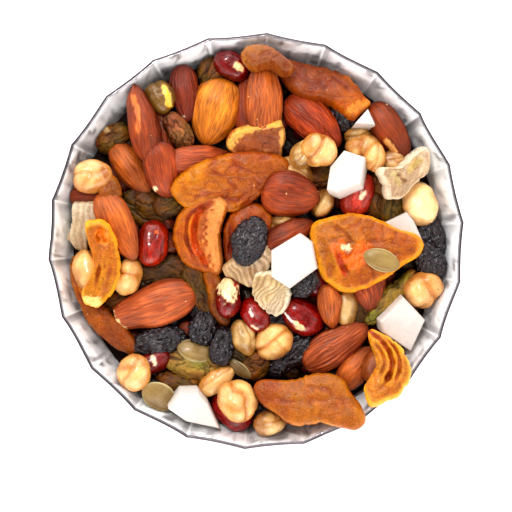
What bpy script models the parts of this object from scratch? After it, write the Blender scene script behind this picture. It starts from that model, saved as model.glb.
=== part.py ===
"""A faceted sheet-metal bowl heaped with trail mix: nuts, dried fruit, seeds and coconut.

Lengths are millimetres up to mesh_object(), which writes metres. +Z is up. The origin is the
centre of the bowl's flat underside.
"""

import math
from collections import namedtuple

import bmesh
import bpy
import numpy as np
from mathutils import Matrix, Vector

MM = 0.001

# Bowl: the wall rises from the floor to flat panels, dished a little, at the rim
RIM_RADIUS = 65.5
FOOT_RADIUS = 30.0
BOWL_HEIGHT = 50.0
SHEET = 1.2
WALL_CURVE = 1.1
FACETS = 22
FACET_TURN_DEG = 5.1
FACET_START = 0.40
COLUMNS_PER_FACET = 2
WALL_RINGS = 8
PANEL_DISHING = 0.35

# Heap
MIX_FLOOR_GAP = 0.4
WALL_GAP = 0.4
CORE_EDGE_BELOW_RIM = 12.0
CORE_CROWN_BELOW_RIM = 9.0
CORE_FOOT_INSET = 1.0
CORE_COLUMNS = 24
CORE_SIDE_RINGS = 4
CORE_TOP_RINGS = 3

# How a piece comes to rest: tilts are slopes, and shares are of the area under the piece
GRID_STEP = 1.0
GRID_MARGIN_STEPS = 6
CONTACT_SHARE = 0.78
PRESSED_IN = 0.7
TILT_FOLLOWED = 0.75
STEEPEST_TILT = 0.36
STEEPEST_TILT_ON_RIM = 0.55
LEANING_LIFT = 1.5
INWARD_STEP = 0.4
MOST_INWARD_STEPS = 12

# Shapes of the pieces
UNEVENNESS = 0.05
UNEVENNESS_SEED = 41
FEW_SIDED_GROWTH = 1.05
SPLINE_STEPS = 8
STRAIGHT_STEPS = 12
ROUND_EDGE_POWER = 2.0
EDGE_POWERS = {"coconut": 9.0, "ginger": 5.0, "fruit": 3.2, "seed": 2.6}
SLAB_SIDES = {"fruit": 15, "ginger": 12}
SLAB_SHARES = {"fruit": (0.78, 1.0), "coconut": (0.94, 1.0), "ginger": (0.60, 0.95)}

# The heap was read from above. These turn a place in that picture into millimetres.
PICTURE_CENTRE_X = 256.0
PICTURE_CENTRE_Y = 241.0
PICTURE_PER_MM = 3.19
EYE_ABOVE_RIM = 600.0
USUAL_REST = 5.0

Piece = namedtuple("Piece", "kind picture_x picture_y turn length width height")
Slab = namedtuple("Slab", "kind height outline on_rim", defaults=(False,))


def almond(x, y, turn, length, width, height=8.0):
    return Piece("almond", x, y, turn, length, width, height)


def chickpea(x, y, turn, length, width, height=9.0):
    return Piece("chickpea", x, y, turn, length, width, height)


def hazelnut(x, y, turn, length, width, height=10.5):
    return Piece("hazelnut", x, y, turn, length, width, height)


def peanut(x, y, turn, length, width, height=9.0):
    return Piece("peanut", x, y, turn, length, width, height)


def raisin(x, y, turn, length, width, height=6.5):
    return Piece("raisin", x, y, turn, length, width, height)


def green_raisin(x, y, turn, length, width, height=6.0):
    return Piece("green_raisin", x, y, turn, length, width, height)


def seed(x, y, turn, length, width, height=2.4):
    return Piece("seed", x, y, turn, length, width, height)


def fruit(height, *outline):
    return Slab("fruit", height, outline)


def fruit_on_rim(height, *outline):
    return Slab("fruit", height, outline, True)


def coconut(height, *outline):
    return Slab("coconut", height, outline)


def ginger(height, *outline):
    return Slab("ginger", height, outline)


# Every piece that shows, from the lowest to the highest. A nut, raisin or seed has its place in
# the picture, its turn in degrees from +X towards +Y with an almond's tip leading, and its
# length and width in millimetres. A slab has its height in millimetres and its outline.
LAYOUT = [
    almond(160, 130, 92, 22, 10),
    raisin(343, 113, -45, 14, 10),
    green_raisin(322, 174, 20, 13, 9),
    green_raisin(115, 302, 10, 11, 8),
    peanut(316, 281, -60, 13, 9),
    green_raisin(384, 183, 80, 13, 8),
    almond(92, 195, 5, 16, 9),
    green_raisin(163, 270, 8, 17, 10),
    almond(249, 106, 92, 23, 10),
    green_raisin(360, 311, -80, 14, 7),
    chickpea(394, 162, 20, 9, 8),
    green_raisin(376, 207, 85, 10, 6),
    chickpea(323, 204, 60, 9, 7),
    chickpea(296, 170, -35, 11, 8),
    chickpea(283, 225, 10, 8, 7),
    raisin(276, 318, 10, 12, 8),
    green_raisin(236, 356, -30, 12, 8),
    green_raisin(198, 287, -65, 18, 8),
    fruit(
        6,
        (202, 272), (214, 270), (222, 285), (228, 305), (230, 322), (222, 326), (210, 312), (206, 292),
    ),
    fruit(
        7,
        (224, 225), (240, 206), (258, 203), (272, 215), (272, 235), (262, 250), (240, 268), (226, 262),
    ),
    almond(288, 235, 27, 18, 9),
    green_raisin(146, 207, -20, 17, 12),
    green_raisin(173, 200, 30, 14, 9),
    almond(131, 246, -78, 17, 8),
    green_raisin(105, 132, 35, 12, 8),
    chickpea(160, 97, -60, 10.5, 9),
    green_raisin(210, 68, 80, 11, 8),
    peanut(232, 66, -25, 12.5, 9),
    raisin(178, 131, -60, 13, 8),
    fruit(
        8,
        (69, 258), (82, 262), (86, 290), (95, 303), (106, 310), (120, 325), (134, 342), (133, 356),
        (118, 352), (105, 343), (90, 330), (78, 308), (69, 284),
    ),
    ginger(
        7,
        (73, 203), (82, 200), (99, 203), (100, 220), (90, 232), (88, 250), (80, 251), (68, 238),
        (73, 222),
    ),
    fruit(6, (100, 178), (108, 173), (118, 181), (122, 196), (112, 200), (100, 197)),
    peanut(153, 362, 30, 12, 8),
    green_raisin(180, 386, -14, 17, 9),
    raisin(153, 394, -30, 10, 7, 6),
    seed(155, 403, -35, 12.5, 9),
    raisin(261, 412, 10, 9, 8),
    chickpea(269, 422, 12, 10, 8),
    peanut(233, 411, -42, 15, 11),
    green_raisin(255, 366, 20, 9.5, 9),
    seed(240, 369, -40, 9, 4),
    chickpea(346, 307, 85, 11, 7.5),
    almond(368, 285, -80, 18, 12),
    raisin(437, 238, 100, 14, 10),
    raisin(430, 262, -60, 13, 9),
    green_raisin(391, 207, 80, 10, 8.5),
    almond(184, 92, -85, 18.5, 9.5),
    almond(141, 121, 102, 25, 10, 11),
    almond(131, 169, -53, 19.5, 9.5),
    almond(163, 171, -75, 18, 12),
    almond(199, 160, 8, 22, 10),
    chickpea(92, 177, 10, 12, 10.5),
    almond(119, 226, -64, 24, 11.5),
    peanut(153, 243, 80, 15, 10.5),
    chickpea(128, 277, 75, 11.5, 8.5),
    chickpea(89, 270, -80, 13, 9.5),
    almond(215, 112, -107, 22, 16),
    almond(264, 97, 90, 24, 12.5, 9),
    almond(314, 121, -43, 22.5, 13),
    chickpea(357, 135, 20, 8, 6.5, 7),
    almond(390, 131, -57, 21, 10.5, 10),
    peanut(358, 195, 68, 15, 10.5),
    coconut(8, (380, 224), (407, 211), (414, 220), (423, 241), (400, 246)),
    green_raisin(391, 298, 45, 23, 7),
    chickpea(425, 291, 30, 11.5, 11),
    hazelnut(420, 204, 105, 13.5, 11.5),
    chickpea(134, 373, 70, 11, 10.5),
    raisin(158, 341, 14, 19, 9),
    green_raisin(195, 366, -11, 20, 10.5),
    seed(195, 351, -15, 12, 7.5),
    raisin(203, 328, 80, 11.5, 9),
    raisin(223, 347, 85, 12.5, 8),
    peanut(228, 297, 85, 13, 8.5),
    peanut(255, 315, -55, 12, 9),
    chickpea(243, 337, -70, 11, 7.5),
    chickpea(216, 381, 38, 12.5, 6.5, 6.5),
    peanut(303, 316, -32, 15, 11.5),
    almond(330, 307, -83, 14.5, 7.5),
    raisin(303, 284, 30, 10, 8),
    raisin(291, 356, 38, 18.5, 8.5),
    almond(357, 368, 50, 16, 10),
    ginger(
        5,
        (264, 242), (273, 254), (266, 272), (252, 287), (236, 281), (222, 270), (234, 258), (250, 250),
    ),
    chickpea(273, 342, 35, 11.8, 10.5),
    coconut(9, (300, 233), (312, 242), (317, 268), (290, 288), (272, 276), (272, 250)),
    coconut(8, (178, 392), (196, 392), (206, 404), (218, 431), (184, 422), (166, 408)),
    chickpea(238, 399, -70, 12.8, 12),
    coconut(6, (352, 127), (366, 111), (373, 128)),
    fruit(
        7,
        (228, 135), (240, 127), (262, 122), (281, 120), (285, 130), (284, 150), (278, 160), (240, 158),
        (226, 148),
    ),
    fruit(
        8,
        (272, 56), (300, 60), (335, 68), (354, 78), (365, 95), (372, 104), (362, 113), (355, 121),
        (343, 113), (330, 103), (302, 96), (286, 82),
    ),
    fruit(
        9,
        (241, 56), (250, 49), (265, 49), (280, 57), (293, 72), (285, 78), (270, 69), (255, 73),
        (244, 66),
    ),
    fruit(
        8,
        (170, 187), (186, 170), (205, 160), (238, 152), (270, 153), (289, 162), (284, 178), (262, 194),
        (248, 206), (230, 213), (205, 206), (184, 207),
    ),
    chickpea(363, 148, 10, 10.5, 8.5),
    chickpea(374, 159, 80, 8.5, 6.5, 8),
    ginger(
        7,
        (376, 168), (398, 166), (412, 153), (425, 147), (430, 158), (427, 172), (412, 184), (400, 198),
        (386, 198), (382, 184),
    ),
    coconut(9, (345, 153), (366, 161), (362, 188), (338, 197), (328, 193), (331, 170)),
    chickpea(302, 156, 60, 9, 7.5, 8),
    chickpea(318, 151, -30, 10.2, 10),
    almond(154, 306, 198, 27.5, 14, 9),
    almond(336, 346, 33, 24, 12),
    hazelnut(297, 400, 10, 13, 12, 11.5),
    hazelnut(328, 398, -20, 13, 12, 11.5),
    hazelnut(389, 377, 62, 13, 11, 11.5),
    fruit_on_rim(
        7,
        (253, 385), (262, 378), (290, 378), (318, 371), (340, 376), (352, 392), (362, 408), (364, 419),
        (355, 427), (340, 425), (318, 421), (300, 424), (285, 420), (275, 412), (262, 404), (255, 395),
    ),
    fruit_on_rim(
        7,
        (367, 327), (383, 333), (400, 346), (408, 365), (406, 381), (396, 394), (382, 401), (368, 404),
        (362, 388), (366, 378), (373, 366), (373, 352), (368, 340),
    ),
    coconut(9, (402, 295), (425, 319), (411, 351), (381, 331), (378, 319)),
    fruit(
        9,
        (88, 222), (104, 220), (116, 231), (121, 248), (122, 270), (117, 288), (107, 301), (98, 308),
        (87, 303), (84, 292), (92, 276), (95, 258), (90, 240),
    ),
    raisin(250, 242, 68, 15.8, 11),
    ginger(
        5,
        (262, 271), (280, 272), (290, 285), (290, 300), (283, 313), (272, 314), (258, 303), (252, 290),
        (254, 277),
    ),
    fruit(
        9,
        (205, 196), (190, 202), (178, 215), (173, 232), (175, 248), (185, 265), (200, 271), (218, 275),
        (223, 266), (222, 250), (221, 232), (227, 212), (229, 202), (221, 195),
    ),
    almond(291, 195, -8, 18.5, 15, 9.5),
    fruit(
        9,
        (310, 228), (320, 219), (345, 213), (372, 217), (398, 229), (415, 234), (423, 245), (419, 256),
        (405, 265), (385, 278), (362, 290), (342, 293), (327, 285), (317, 268), (311, 250),
    ),
    seed(380, 260, -20, 12, 7),
]

LOOKS = {
    "bowl": ((0.72, 0.71, 0.72), 0.28, 1.0),
    "trail_mix": ((0.62, 0.27, 0.08), 0.6, 0.0),
}


def clear_scene():
    for item in list(bpy.data.objects):
        bpy.data.objects.remove(item)


def material(name):
    colour, roughness, metallic = LOOKS[name]
    made = bpy.data.materials.new(name)
    made.use_nodes = True
    shader = made.node_tree.nodes["Principled BSDF"]
    shader.inputs["Base Color"].default_value = (*colour, 1.0)
    shader.inputs["Roughness"].default_value = roughness
    shader.inputs["Metallic"].default_value = metallic
    return made


def mesh_object(name, points, faces):
    """A closed mesh object from points in millimetres, with its faces turned outwards."""
    mesh = bpy.data.meshes.new(name)
    mesh.from_pydata([Vector(p) * MM for p in points], [], faces)
    shape = bmesh.new()
    shape.from_mesh(mesh)
    bmesh.ops.recalc_face_normals(shape, faces=shape.faces)
    shape.to_mesh(mesh)
    shape.free()
    if name in LOOKS:
        mesh.materials.append(material(name))
    made = bpy.data.objects.new(name, mesh)
    bpy.context.scene.collection.objects.link(made)
    return made


def smoothstep(low, high, value):
    share = min(1.0, max(0.0, (value - low) / (high - low)))
    return share * share * (3 - 2 * share)


def inner_profile(rise):
    """Radius and height of the bowl's inner face. rise runs from 0 at the floor to 1 at the rim."""
    rim_inner = RIM_RADIUS - SHEET
    radius = FOOT_RADIUS + (rim_inner - FOOT_RADIUS) * rise**WALL_CURVE
    return radius, SHEET + (BOWL_HEIGHT - SHEET) * rise**2


def outer_profile(rise):
    """The inner face moved outwards by the sheet's thickness, square to it."""
    radius, height = inner_profile(rise)
    step = 0.001
    low = inner_profile(max(0.0, rise - step))
    high = inner_profile(rise + step)
    along = Vector((high[0] - low[0], high[1] - low[1])).normalized()
    return radius + SHEET * along.y, max(0.0, height - SHEET * along.x)


def wall_height(radius):
    """Height of the inner face's corners at each radius from the floor's edge to the rim."""
    share = (radius - FOOT_RADIUS) / (RIM_RADIUS - SHEET - FOOT_RADIUS)
    rise = np.clip(share, 0.0, 1.0) ** (1 / WALL_CURVE)
    return SHEET + (BOWL_HEIGHT - SHEET) * rise**2


def panel_factor(angle):
    """How far a flat panel pulls a round wall in: 1 at a corner, less between corners."""
    pitch = 2 * math.pi / FACETS
    across = (angle - math.radians(FACET_TURN_DEG)) % pitch - pitch / 2
    return math.cos(pitch / 2) / np.cos(across)


def facet_factor(angle, rise):
    return 1 - smoothstep(FACET_START, 1.0, rise) * (1 - panel_factor(angle))


def clear_radius(height, angle):
    """The largest radius at this height and angle that stays clear of the wall."""
    rise = math.sqrt(min(1.0, max(0.0, (height - SHEET) / (BOWL_HEIGHT - SHEET))))
    radius = inner_profile(rise)[0] * facet_factor(angle, rise)
    return radius - PANEL_DISHING * rise**2 - WALL_GAP


def narrowest_radius(height):
    return clear_radius(height, math.radians(FACET_TURN_DEG) + math.pi / FACETS)


def wall_ring(profile, rise):
    """A ring of the wall, with a column at each corner and on each panel, dished inwards there."""
    radius, height = profile(rise)
    columns = FACETS * COLUMNS_PER_FACET
    ring = []
    for column in range(columns):
        angle = math.radians(FACET_TURN_DEG) + 2 * math.pi * column / columns
        dish = PANEL_DISHING * rise**2 * (column % COLUMNS_PER_FACET)
        reach = radius * facet_factor(angle, rise) - dish
        ring.append((reach * math.cos(angle), reach * math.sin(angle), height))
    return ring


def round_ring(radius, height):
    turns = [2 * math.pi * column / CORE_COLUMNS for column in range(CORE_COLUMNS)]
    return [(radius * math.cos(t), radius * math.sin(t), height) for t in turns]


def middle_of(ring):
    return tuple(sum(along) / len(ring) for along in zip(*ring))


def skin(rings, first_pole, last_pole):
    """Points and faces of rings of equal count, joined one to the next and closed at two poles."""
    count = len(rings[0])
    points = [point for ring in rings for point in ring] + [first_pole, last_pole]
    last_row = len(rings) - 1
    faces = []
    for side in range(count):
        after = (side + 1) % count
        for row in range(last_row):
            a, b = row * count + side, row * count + after
            faces.append((a, b, b + count, a + count))
        faces.append((side, after, len(points) - 2))
        faces.append((last_row * count + side, last_row * count + after, len(points) - 1))
    return points, faces


def build_bowl():
    rises = [ring / WALL_RINGS for ring in range(WALL_RINGS + 1)]
    outside = [wall_ring(outer_profile, rise) for rise in rises]
    inside = [wall_ring(inner_profile, rise) for rise in reversed(rises)]
    return mesh_object("bowl", *skin(outside + inside, middle_of(outside[0]), middle_of(inside[-1])))


def core_top(radius):
    """Height of the heap's core, which the pieces lie on."""
    edge = BOWL_HEIGHT - CORE_EDGE_BELOW_RIM
    crown = BOWL_HEIGHT - CORE_CROWN_BELOW_RIM
    share = np.clip(radius / RIM_RADIUS, 0.0, 1.0)
    return edge + (crown - edge) * (1 - share**2)


def core_edge():
    """Radius and height where the core's top meets the wall."""
    radius = narrowest_radius(BOWL_HEIGHT - CORE_EDGE_BELOW_RIM)
    height = float(core_top(radius))
    return narrowest_radius(height), height


def build_core():
    edge_radius, edge_height = core_edge()
    low = SHEET + MIX_FLOOR_GAP
    rings = [round_ring(FOOT_RADIUS - CORE_FOOT_INSET, low)]
    for step in range(1, CORE_SIDE_RINGS + 1):
        height = low + (edge_height - low) * (step / CORE_SIDE_RINGS) ** 2
        rings.append(round_ring(narrowest_radius(height), height))
    for step in range(1, CORE_TOP_RINGS + 1):
        radius = edge_radius * (1 - step / (CORE_TOP_RINGS + 1))
        rings.append(round_ring(radius, float(core_top(radius))))
    return mesh_object("trail_mix", *skin(rings, middle_of(rings[0]), middle_of(rings[-1])))


def from_picture(x, y):
    """Where a place in the picture lies, at the height where a piece usually comes to rest."""
    along = (x - PICTURE_CENTRE_X) / PICTURE_PER_MM
    across = (PICTURE_CENTRE_Y - y) / PICTURE_PER_MM
    height = float(core_top(math.hypot(along, across))) + USUAL_REST
    nearer = 1 + (BOWL_HEIGHT - height) / EYE_ABOVE_RIM
    return along * nearer, across * nearer


def smooth_outline(corners):
    """A closed Catmull-Rom curve through the corners."""
    points = []
    for i in range(len(corners)):
        before, here, after, beyond = (corners[(i + k) % len(corners)] for k in (-1, 0, 1, 2))
        for t in np.arange(SPLINE_STEPS) / SPLINE_STEPS:
            bend = 2 * before - 5 * here + 4 * after - beyond
            twist = 3 * here - before - 3 * after + beyond
            points.append(here + (after - before) * t / 2 + bend * t**2 / 2 + twist * t**3 / 2)
    return np.array(points)


def straight_outline(corners):
    sides = zip(corners, np.roll(corners, -1, axis=0))
    return np.concatenate([np.linspace(a, b, STRAIGHT_STEPS, endpoint=False) for a, b in sides])


def corners_of(slab):
    return np.array([from_picture(x, y) for x, y in slab.outline])


def reach_of(slab):
    """(centre, angles, reaches): the slab's outline as a reach for each angle round its centre."""
    corners = corners_of(slab)
    dense = straight_outline(corners) if slab.kind == "coconut" else smooth_outline(corners)
    centre = dense.mean(axis=0)
    offset = dense - centre
    angles = np.arctan2(offset[:, 1], offset[:, 0])
    order = np.argsort(angles)
    return centre, angles[order], np.hypot(offset[:, 0], offset[:, 1])[order]


def reach_at(angle, angles, reaches):
    return np.interp(angle, angles, reaches, period=2 * math.pi)


def thickness_share(kind, out):
    """How thick a piece is, as a share of its height, at a share out of the way to its edge."""
    power = EDGE_POWERS.get(kind, ROUND_EDGE_POWER)
    return np.clip(1 - out**power, 0.0, 1.0) ** (1 / power)


def bare_ground():
    """(grid x, grid y, heights, metal, inside): the core and the wall before any piece lies there."""
    steps = int(RIM_RADIUS / GRID_STEP) + GRID_MARGIN_STEPS
    axis = np.arange(-steps, steps + 1) * GRID_STEP
    grid_x, grid_y = np.meshgrid(axis, axis)
    from_axis = np.hypot(grid_x, grid_y)
    to_corners = from_axis / panel_factor(np.arctan2(grid_y, grid_x))
    metal = from_axis > core_edge()[0]
    heights = np.where(metal, wall_height(to_corners), core_top(from_axis))
    heights[to_corners > RIM_RADIUS - SHEET] = BOWL_HEIGHT
    return grid_x, grid_y, heights, metal, to_corners < RIM_RADIUS


def share_out(piece, dx, dy):
    """How far out of a piece each offset from its middle is: 0 at the middle, 1 at its edge."""
    if isinstance(piece, Slab):
        _, angles, reaches = reach_of(piece)
        return np.hypot(dx, dy) / reach_at(np.arctan2(dy, dx), angles, reaches)
    turn = math.radians(piece.turn)
    along = dx * math.cos(turn) + dy * math.sin(turn)
    across = dy * math.cos(turn) - dx * math.sin(turn)
    return np.hypot(2 * along / piece.length, 2 * across / piece.width)


def slope_under(dx, dy, heights, steepest):
    """The slope of the plane that fits the heights best, taken up in part and limited."""
    terms = np.column_stack([dx, dy, np.ones(len(dx))])
    slope = np.linalg.lstsq(terms, heights, rcond=None)[0][:2] * TILT_FOLLOWED
    return slope * min(1.0, steepest / max(np.hypot(*slope), steepest / 2))


def settle(layout):
    """Lowers each piece in turn onto what is below it, and yields (piece, x, y, z, slope).

    Heights are kept on a square grid. A piece turns with the slope under it, and comes to rest
    when most of its underside is above the heap and all of it is above the wall. One that the
    wall would hold up moves inwards."""
    grid_x, grid_y, ground, metal, inside = bare_ground()
    for piece in layout:
        slab = isinstance(piece, Slab)
        on_rim = slab and piece.on_rim
        x, y = reach_of(piece)[0] if slab else from_picture(piece.picture_x, piece.picture_y)
        for _ in range(MOST_INWARD_STEPS):
            dx, dy = grid_x - x, grid_y - y
            out = share_out(piece, dx, dy)
            under = (out < 1) & inside
            steepest = STEEPEST_TILT_ON_RIM if on_rim else STEEPEST_TILT
            slope = slope_under(dx[under], dy[under], ground[under], steepest)
            plane = slope[0] * dx + slope[1] * dy
            half = piece.height / 2 * thickness_share(piece.kind, np.minimum(out, 1.0))
            needed = ground - plane + half
            soft, hard = under & ~metal, under & metal
            rest = np.quantile(needed[soft], CONTACT_SHARE) - PRESSED_IN if soft.any() else 0.0
            clear = needed[hard].max() + WALL_GAP if hard.any() else 0.0
            if on_rim or clear <= rest + LEANING_LIFT:
                break
            x, y = np.array([x, y]) * (1 - INWARD_STEP / math.hypot(x, y))
        z = max(rest, clear)
        ground[under] = np.maximum(ground, z + plane + half)[under]
        metal = metal & ~under
        yield piece, x, y, z, slope


def spindle(piece):
    """A long closed shape with its length along X, its ends at poles."""
    stations, sides, girth_at = NUTS[piece.kind]
    rings = []
    for step in range(1, stations):
        place = -math.cos(math.pi * step / stations)
        girth = girth_at(place) / 2 * FEW_SIDED_GROWTH
        ring = []
        for side in range(sides):
            turn = 2 * math.pi * side / sides
            across = girth * piece.width * math.cos(turn)
            ring.append((place * piece.length / 2, across, girth * piece.height * math.sin(turn)))
        rings.append(ring)
    return skin(rings, (-piece.length / 2, 0.0, 0.0), (piece.length / 2, 0.0, 0.0))


def almond_girth(place):
    """Widest a little behind the middle, with a pointed tip at 1 and a blunt end at -1."""
    return 0.98 * (1 - place) ** 0.62 * (1 + place) ** 0.42


def oval_girth(place):
    return (1 - place * place) ** 0.45


def seed_girth(place):
    return (1 - place * place) ** 0.62


# For each kind, the steps along it, the sides round it and its girth from one end to the other
NUTS = {
    "almond": (5, 8, almond_girth),
    "chickpea": (4, 7, oval_girth),
    "hazelnut": (5, 7, oval_girth),
    "peanut": (4, 7, oval_girth),
    "raisin": (4, 6, oval_girth),
    "green_raisin": (4, 6, oval_girth),
    "seed": (4, 6, seed_girth),
}


def slab_turns(slab):
    """The angles at which a slab has points: a coconut piece's corners, or evenly round."""
    if slab.kind == "coconut":
        offset = corners_of(slab) - reach_of(slab)[0]
        return np.sort(np.arctan2(offset[:, 1], offset[:, 0]))
    return np.linspace(-math.pi, math.pi, SLAB_SIDES[slab.kind], endpoint=False)


def slab_shape(slab):
    """A closed slab, level, with rings of points at some shares of the way out on both faces."""
    _, angles, reaches = reach_of(slab)
    turns = slab_turns(slab)
    reach = reach_at(turns, angles, reaches)
    shares = SLAB_SHARES[slab.kind]
    upper = [(share, 1) for share in shares]
    lower = [(share, -1) for share in reversed(shares) if share < 1]
    rings = []
    for share, face in upper + lower:
        lift = face * slab.height / 2 * float(thickness_share(slab.kind, share))
        across, up = reach * share * np.cos(turns), reach * share * np.sin(turns)
        rings.append([(a, b, lift) for a, b in zip(across, up)])
    return skin(rings, (0.0, 0.0, slab.height / 2), (0.0, 0.0, -slab.height / 2))


def kept_off_wall(spot):
    """The spot, moved in towards the bowl's axis where it would touch the wall."""
    if spot.z > BOWL_HEIGHT + WALL_GAP / 2:
        return spot
    limit = clear_radius(min(spot.z, BOWL_HEIGHT), math.atan2(spot.y, spot.x))
    inwards = min(1.0, limit / max(limit, spot.xy.length))
    return Vector((spot.x * inwards, spot.y * inwards, spot.z))


def placed(points, turn, slope, middle, chance):
    """A piece's points made a little uneven, turned, tilted and moved to where it rests."""
    up = Vector((-slope[0], -slope[1], 1.0))
    tilt = Vector((0, 0, 1)).rotation_difference(up).to_matrix()
    frame = tilt @ Matrix.Rotation(turn, 3, "Z")
    spots = []
    for point in points:
        uneven = 1 - UNEVENNESS * chance.random()
        spots.append(kept_off_wall(frame @ Vector(point) * uneven + middle))
    return spots


def build_pieces(collection):
    chance = np.random.default_rng(UNEVENNESS_SEED)
    for number, (piece, x, y, z, slope) in enumerate(settle(LAYOUT)):
        slab = isinstance(piece, Slab)
        points, faces = slab_shape(piece) if slab else spindle(piece)
        turn = 0.0 if slab else math.radians(piece.turn)
        spots = placed(points, turn, slope, Vector((x, y, z)), chance)
        made = mesh_object(f"{piece.kind}_{number}", spots, faces)
        bpy.context.scene.collection.objects.unlink(made)
        collection.objects.link(made)


def shells_of(shape):
    """The sets of vertices that edges join."""
    left = set(shape.verts)
    while left:
        front = [left.pop()]
        shell = set(front)
        while front:
            joined = {vert for edge in front.pop().link_edges for vert in edge.verts} & left
            left -= joined
            shell |= joined
            front += joined
        yield shell


def keep_largest_shell(mesh):
    """Drops sealed hollows and loose scraps, so one closed body is left."""
    shape = bmesh.new()
    shape.from_mesh(mesh)
    shells = sorted(shells_of(shape), key=len)
    for shell in shells[:-1]:
        bmesh.ops.delete(shape, geom=list(shell), context="VERTS")
    bmesh.ops.triangulate(shape, faces=shape.faces)
    shape.to_mesh(mesh)
    shape.free()


def fuse(core, collection):
    """Joins the collection's pieces to the core and removes them."""
    union = core.modifiers.new("pieces", "BOOLEAN")
    union.operation = "UNION"
    union.operand_type = "COLLECTION"
    union.collection = collection
    union.solver = "EXACT"
    bpy.context.view_layer.update()
    graph = bpy.context.evaluated_depsgraph_get()
    fused = bpy.data.meshes.new_from_object(core.evaluated_get(graph))
    core.modifiers.remove(union)
    for piece in list(collection.objects):
        bpy.data.objects.remove(piece)
    bpy.data.collections.remove(collection)
    keep_largest_shell(fused)
    core.data = fused


def build_heap():
    collection = bpy.data.collections.new("pieces")
    bpy.context.scene.collection.children.link(collection)
    build_pieces(collection)
    fuse(build_core(), collection)


def main():
    clear_scene()
    build_bowl()
    build_heap()


main()
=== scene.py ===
import math
from collections import namedtuple
from functools import partial

import bpy
import numpy as np
from mathutils import Matrix, Vector


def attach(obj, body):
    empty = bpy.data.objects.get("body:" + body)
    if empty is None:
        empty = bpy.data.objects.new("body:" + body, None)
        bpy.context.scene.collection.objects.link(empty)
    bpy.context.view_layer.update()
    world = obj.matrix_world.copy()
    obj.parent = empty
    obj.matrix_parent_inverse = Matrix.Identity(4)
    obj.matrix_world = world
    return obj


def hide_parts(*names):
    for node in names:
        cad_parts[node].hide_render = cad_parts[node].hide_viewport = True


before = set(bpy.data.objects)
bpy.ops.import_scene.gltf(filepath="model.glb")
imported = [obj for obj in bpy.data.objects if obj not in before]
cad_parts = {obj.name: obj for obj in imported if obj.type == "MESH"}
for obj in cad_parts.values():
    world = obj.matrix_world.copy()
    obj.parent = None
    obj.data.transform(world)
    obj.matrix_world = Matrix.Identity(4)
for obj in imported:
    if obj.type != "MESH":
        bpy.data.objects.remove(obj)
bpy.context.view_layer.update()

mm = 0.001

# Places read from the photograph: pixels of its 512 by 512 frame, seen from straight above
photo = {"centreX": 256.0, "centreY": 241.0, "perMm": 3.19, "eyeAboveRim": 600.0, "usualRest": 5.0}

bowlValues = {
    "rimRadius": 65.5, "footRadius": 30.0, "height": 50.0, "sheet": 1.2, "wallCurve": 1.1,
    "panels": 22, "turnDeg": 5.1, "panelStart": 0.40, "dishing": 0.35,
    "columnsPerPanel": 20, "cornerCrowding": 0.7, "wallSteps": 46, "floorSteps": 12,
    "lipSteps": 8, "lipStart": 0.99, "lipBulge": 0.35, "lipDarkReflectionShare": 0.6,
    "creaseDepth": 0.45, "dentDepth": 1.5, "dentSize": 5.0, "seed": 5,
}
heapValues = {
    "floorGap": 0.4, "wallGap": 0.4, "edgeBelowRim": 12.0, "crownBelowRim": 9.0, "footInset": 1.0,
    "gridStep": 1.0, "gridMargin": 6, "contactShare": 0.78, "pressedIn": 0.7, "tiltFollowed": 0.75,
    "steepest": 0.36, "steepestOnRim": 0.55, "leaningLift": 1.5, "inwardStep": 0.4, "mostSteps": 12,
    "noiseShift": 1.7, "brokenShift": 3.1,
}


def report(stage):
    print("trail mix:", stage)


def linear(hexColour):
    # sRGB hex to the linear colour that shaders use
    parts = [int(hexColour[i:i + 2], 16) / 255 for i in (1, 3, 5)]
    return [c / 12.92 if c <= 0.04045 else ((c + 0.055) / 1.055) ** 2.4 for c in parts] + [1.0]


def join(tree, made, feeds):
    # joins or fills a node's inputs, by number or name; a hex colour is made linear
    for socket, feed in feeds.items():
        if isinstance(feed, bpy.types.Node):
            feed = feed.outputs[0]
        if isinstance(feed, bpy.types.NodeSocket):
            tree.links.new(feed, made.inputs[socket])
        else:
            isColour = isinstance(feed, str) and feed.startswith("#")
            made.inputs[socket].default_value = linear(feed) if isColour else feed


def put(tree, kind, *feeds, named=None, out=None, **settings):
    # adds a node with its settings and links, and gives it back, or the one output asked for
    made = tree.nodes.new(kind)
    for setting, value in settings.items():
        setattr(made, setting, value)
    join(tree, made, {**dict(enumerate(feeds)), **(named or {})})
    return made if out is None else made.outputs[out]


# Smooth noise from -1 to 1 with one bump for each unit of length
noiseSide = 64
noiseTable = np.random.default_rng(7).uniform(-1, 1, (noiseSide,) * 3)


def softNoise(points, shift=0.0):
    spots = np.asarray(points, float) + shift * np.array([7.31, 3.17, 5.73])
    cell = np.floor(spots).astype(int)
    share = spots - cell
    share = share ** 3 * (share * (share * 6 - 15) + 10)
    total = 0.0
    for corner in np.ndindex(2, 2, 2):
        weight = np.prod(np.where(corner, share, 1 - share), axis=-1)
        x, y, z = np.moveaxis((cell + corner) % noiseSide, -1, 0)
        total = total + weight * noiseTable[x, y, z]
    return total * 1.6


def roughNoise(points, shift=0.0, layers=3):
    return sum(softNoise(np.asarray(points) * 2.03 ** n, shift + n) / 2 ** n for n in range(layers))


def smooth(low, high, value):
    share = np.clip((value - low) / (high - low), 0.0, 1.0)
    return share * share * (3 - 2 * share)


def blendOf(first, second, share):
    share = np.asarray(share)[..., None]
    return first * (1 - share) + second * share


# The wall, as the part has it


def innerProfile(rise):
    b = bowlValues
    reach = b["rimRadius"] - b["sheet"] - b["footRadius"]
    return b["footRadius"] + reach * rise ** b["wallCurve"], b["sheet"] + (b["height"] - b["sheet"]) * rise ** 2


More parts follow.
